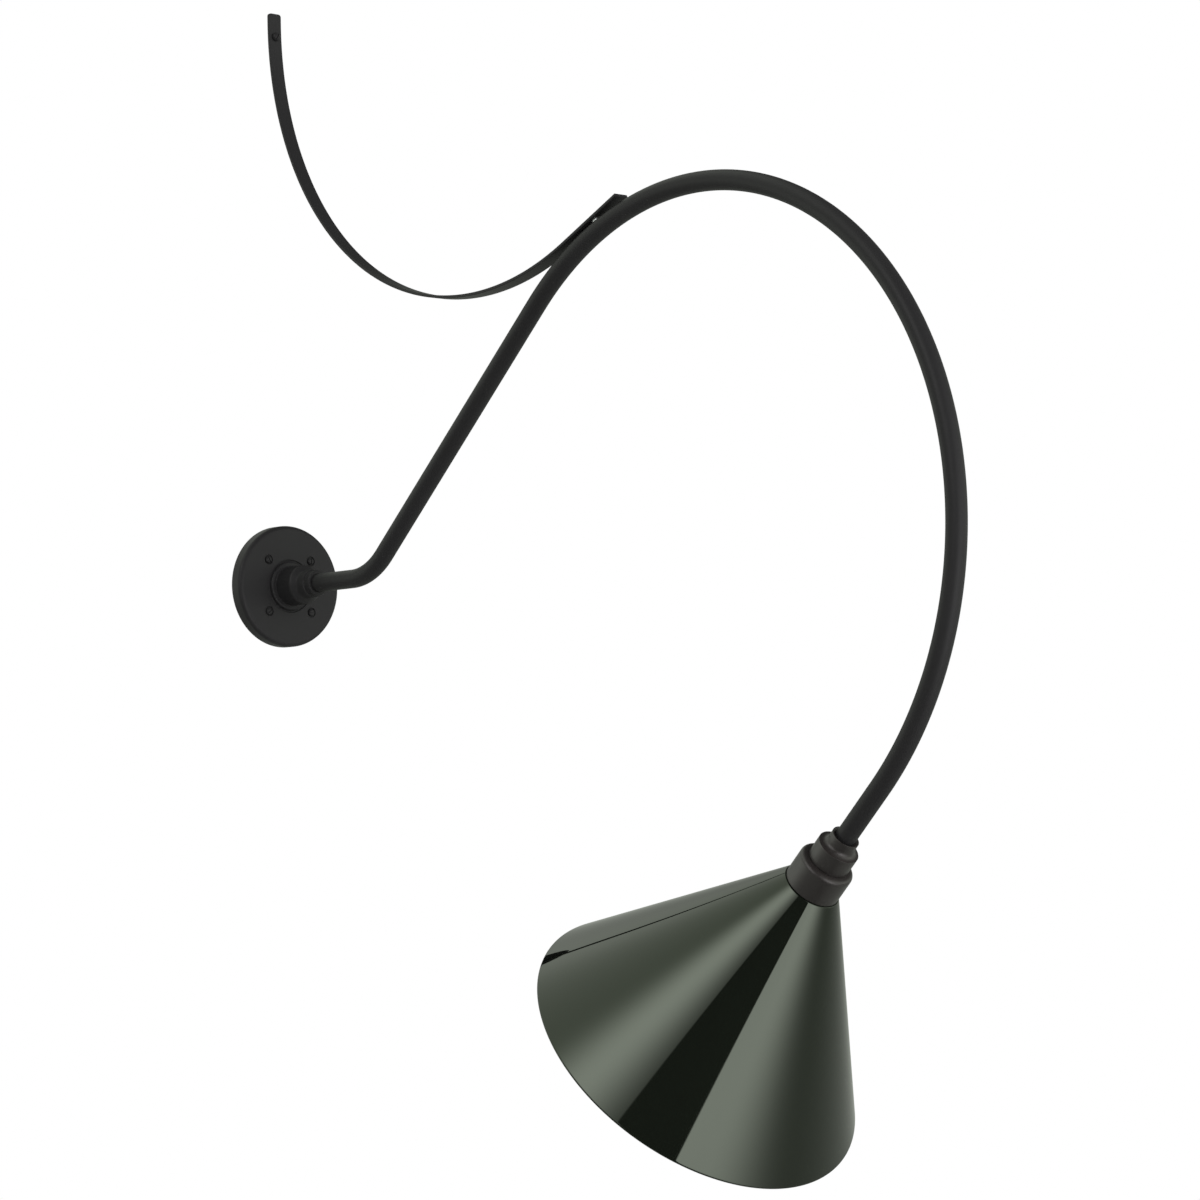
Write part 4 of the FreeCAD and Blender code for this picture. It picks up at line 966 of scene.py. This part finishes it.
class SCONCE_OT_lamp(bpy.types.Operator):
    """Make the lamp: cap, insulator, tip, globe, stem and filaments"""
    bl_idname = "sconce.lamp"
    bl_label = "Lamp"

    def execute(self, context):
        lamp, place = context.scene.sconce_lamp, on_neck(context.scene.sconce_arm)
        line = rounded([(0, lamp.tip_start, 0), (lamp.tip_radius, lamp.tip_start, 0.0012),
                        (lamp.tip_radius, lamp.insulator_start, 0), (0, lamp.insulator_start, 0)])
        turned_piece("tip_contact", "lamp_tip_contact", "lamp_solder", line, 64, place, body="lamp_tip")
        line = rounded([(0, lamp.insulator_start, 0), (lamp.tip_radius, lamp.insulator_start, CRISP),
                        (lamp.insulator_radius, lamp.cap_start - 0.0006, CRISP),
                        (lamp.insulator_radius, lamp.cap_start, 0), (0, lamp.cap_start, 0)])
        turned_piece("glass_insulator", "lamp_insulator", "lamp_insulator", line, 80, place, body="lamp")
        self.make_cap(lamp, place)
        line = np.concatenate([globe_line(lamp, 0.0), globe_line(lamp, lamp.globe_wall)[::-1]])
        turned_piece("globe", "lamp_globe", "lamp_glass", line, 128, place, body="lamp")
        self.make_inside(lamp, place)
        return {"FINISHED"}

    def make_cap(self, lamp, place):
        root, shoulder = lamp.cap_radius - lamp.thread_depth, lamp.cap_start + lamp.cap_taper
        low, high = shoulder + 0.0004, lamp.cap_end - 0.0022
        outside = [(lamp.insulator_radius + 0.0006, lamp.cap_start, CRISP), (root, shoulder, EASED),
                   *threaded_wall(lamp, root, lamp.cap_radius, low, high),
                   (lamp.cap_radius, lamp.cap_end, 0)]
        inside = sheet(outside, lamp.cap_sheet, lamp.cap_start)
        line = rounded([(0, lamp.cap_start, 0), *outside, *inside[::-1],
                        (0, lamp.cap_start + lamp.cap_sheet, 0)])
        turned_piece("threaded_cap", "lamp_cap", "lamp_cap", line, 120, place, step=THREAD_STEP,
                     body="lamp", waist=thread(lamp, low, high), sharp=50.0)

    def make_inside(self, lamp, place):
        """Stem on the globe's neck, and rods between two plates as the filaments."""
        foot = lamp.globe_start
        low = foot + lamp.stem_length
        high = low + lamp.filament_length
        neck = lamp.globe_neck - lamp.globe_wall - BORE_GAP
        line = rounded([(0, foot, 0), (neck, foot, CRISP), (neck, foot + lamp.globe_wall, CRISP),
                        (lamp.stem_radius, foot + lamp.stem_foot, 0.004), (lamp.stem_radius, low, EASED),
                        (0, low, 0)])
        turned_piece("stem", "lamp_stem", "stem_glass", line, 72, place, step=0.003, body="lamp")

        rod = rounded([(0, low, 0), (lamp.filament_radius, low, 0.0002),
                       (lamp.filament_radius, high, 0.0002), (0, high, 0)])
        middles = [*ring(lamp.filament_circle, lamp.filament_count), (0, 0)]
        skins = [turned(spaced(rod, 0.002), 24, moved(place, x, y, 0)) for x, y in middles]
        wide, thick = lamp.filament_circle + lamp.filament_radius + 0.0008, 0.0012
        for z in (low, high - thick):
            plate = rounded([(0, z, 0), (wide, z, 0.0004), (wide, z + thick, 0.0004), (0, z + thick, 0)])
            skins.append(turned(plate, 48, place))
        piece("filament_cage", skins, "lamp", "filament", "lamp_filaments")


class SCONCE_OT_hardware(bpy.types.Operator):
    """Give the inner hardware its finishes"""
    bl_idname = "sconce.hardware"
    bl_label = "Hardware"

    def execute(self, context):
        for name, slot in HARDWARE.items():
            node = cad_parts[name]
            if not node.material_slots:
                node.data.materials.append(finishes[slot])
            for place in node.material_slots:
                place.material = finishes[slot]
        return {"FINISHED"}


class SCONCE_OT_finishes(bpy.types.Operator):
    """Mix every finish from the chosen colours"""
    bl_idname = "sconce.finishes"
    bl_label = "Finishes"

    def execute(self, context):
        finishes.update(make_finishes(context.scene.sconce_finishes))
        return {"FINISHED"}


class SCONCE_OT_stage(bpy.types.Operator):
    """Set the floor, the light and the camera"""
    bl_idname = "sconce.stage"
    bl_label = "Studio"

    def execute(self, context):
        studio = context.scene.sconce_studio
        low, high = frame_bounds
        middle = (Vector(low) + Vector(high)) / 2
        self.set_floor(context, studio, middle)
        self.set_room(context, studio)
        self.set_lights(context, middle)
        self.set_camera(context, studio)
        context.scene.view_settings.view_transform = "Standard"
        return {"FINISHED"}

    def set_floor(self, context, studio, middle):
        rim = np.concatenate([ring(studio.floor_radius, FLOOR_SIDES) + np.array(middle[:2]),
                              np.full((FLOOR_SIDES, 1), studio.floor_height)], axis=1)
        mesh = bpy.data.meshes.new("floor")
        mesh.from_pydata(rim.tolist(), [], [list(range(FLOOR_SIDES))])
        mesh.materials.append(finish("pale_floor", (0.86, 0.86, 0.85), 0.8, cloud=2.0, mottle=0.01,
                                     spread=0.02))
        floor = bpy.data.objects.new("floor", mesh)
        context.scene.collection.objects.link(floor)
        floor.visible_glossy = False

    def set_room(self, context, studio):
        """Even light all round, and in the gloss a room with two soft panels and a dark gap between them.

        With t the angle round the vertical from the camera's side and e the angle above the horizon, a
        patch's brightness is exp(-((t - turn) / width)^2 - (u / height)^2), with u = e - rise plus slant
        times (t - turn).  The right panel is even up to its middle and reaches further above its line than
        below it.  Two walls glow at the sides, and only the left of the ceiling is light.
        """
        world = bpy.data.worlds.new("studio")
        context.scene.world = world
        tree = Tree(world)
        way = tree.node("ShaderNodeTexCoord", output="Generated")
        towards = Vector((-studio.camera_view[0], -studio.camera_view[1], 0)).normalized()
        along, across = tree.dot(way, towards), tree.dot(way, Vector((-towards.y, towards.x, 0)))
        height = tree.node("ShaderNodeSeparateXYZ", None, {0: way}, output="Z")
        turn = tree.math("ARCTAN2", across, along) * degrees(1)
        rise = tree.math("ARCSINE", height) * degrees(1)
        gap = degrees(studio.gap)

        def glow(patch, top=None):
            beside, size = turn - patch.turn, patch.height
            above = rise - patch.rise + beside * patch.slant
            if top:
                beside, size = tree.math("MAXIMUM", beside, 0.0), tree.ramp(above, 0.0, 5.0, size, top)
            share, lift = beside / patch.width, above / size
            return tree.math("EXPONENT", -(share * share + lift * lift))
        panels = glow(LEFT_PANEL) + glow(RIGHT_PANEL, PANEL_TOP) * tree.ramp(turn, 0.0, 1.0)
        panels = panels * tree.ramp(abs(turn), gap - PANEL_EDGE, gap + PANEL_EDGE) * studio.panel
        walls = glow(LEFT_WALL) * studio.left_wall + glow(RIGHT_WALL) * studio.right_wall
        leftward = tree.ramp(across, -0.5, 0.1, 1.0, 0.0)
        ceiling = (tree.ramp(height, 0.2, 0.7, 0.0, CEILING) * leftward
                   - tree.ramp(height, 0.3, 0.65) * (1.0 - leftward) * (CEILING_SHADE * studio.room))
        room = (ceiling + walls + studio.room) * tree.ramp(abs(turn), gap, 60.0, FRONT_SHADE, 1.0)

        seen, glossy, through = (tree.node("ShaderNodeLightPath", output=f"Is {ray} Ray")
                                 for ray in ("Camera", "Glossy", "Transmission"))
        hidden = 1.0 - tree.math("MAXIMUM", seen, through)
        strength = (1.0 - hidden) + hidden * (glossy * (panels + room) + (1.0 - glossy) * studio.sky)
        hue = tree.mixed(hidden * glossy * (room / (room + panels)), (1, 1, 1, 1), (*studio.room_colour, 1))
        background = tree.node("ShaderNodeBackground", None, {"Color": hue, "Strength": strength})
        tree.node("ShaderNodeOutputWorld", None, {"Surface": background})

    def set_lights(self, context, middle):
        for name, (place, size, power) in LIGHTS.items():
            light = bpy.data.lights.new(name, "AREA")
            light.size = size
            light.energy = power
            lamp = bpy.data.objects.new(name, light)
            lamp.location = place
            lamp.rotation_euler = (middle - Vector(place)).to_track_quat("-Z", "Y").to_euler()
            lamp.visible_glossy = False
            context.scene.collection.objects.link(lamp)

    def set_camera(self, context, studio):
        camera = bpy.data.cameras.new("camera")
        camera.sensor_fit = "HORIZONTAL"
        camera.sensor_width = SENSOR_WIDTH
        camera.lens = studio.lens
        forward = Vector(studio.camera_view).normalized()
        up = Vector(studio.camera_up).normalized()
        turn = Matrix((forward.cross(up), up, -forward)).transposed()
        stand = bpy.data.objects.new("camera", camera)
        stand.matrix_world = Matrix.Translation(Vector(studio.camera_place)) @ turn.to_4x4()
        context.scene.collection.objects.link(stand)
        context.scene.camera = stand


class SCONCE_PT_sidebar(bpy.types.Panel):
    """Sizes and colours of the sconce, with a button for each piece"""
    bl_label = "Sconce"
    bl_space_type = "VIEW_3D"
    bl_region_type = "UI"
    bl_category = "Sconce"

    def draw(self, context):
        for step in STEPS:
            self.layout.operator(step.bl_idname, text=step.bl_label)
        for name, group in SETTINGS.items():
            column = self.layout.column(align=True)
            column.label(text=group.__doc__)
            for key in group.__annotations__:
                column.prop(getattr(context.scene, name), key)


STEPS = (SCONCE_OT_finishes, SCONCE_OT_arm, SCONCE_OT_canopy, SCONCE_OT_hub, SCONCE_OT_stay, SCONCE_OT_neck,
         SCONCE_OT_shade, SCONCE_OT_lampholder, SCONCE_OT_lamp, SCONCE_OT_hardware, SCONCE_OT_stage)


def register():
    for item in (*SETTINGS.values(), *STEPS, SCONCE_PT_sidebar):
        bpy.utils.register_class(item)
    for name, group in SETTINGS.items():
        setattr(bpy.types.Scene, name, PointerProperty(type=group))


def unregister():
    for name in SETTINGS:
        delattr(bpy.types.Scene, name)
    for item in reversed((*SETTINGS.values(), *STEPS, SCONCE_PT_sidebar)):
        bpy.utils.unregister_class(item)


def main():
    register()
    for step in STEPS:
        group, name = step.bl_idname.split(".")
        getattr(getattr(bpy.ops, group), name)()


if __name__ == "__main__":
    main()
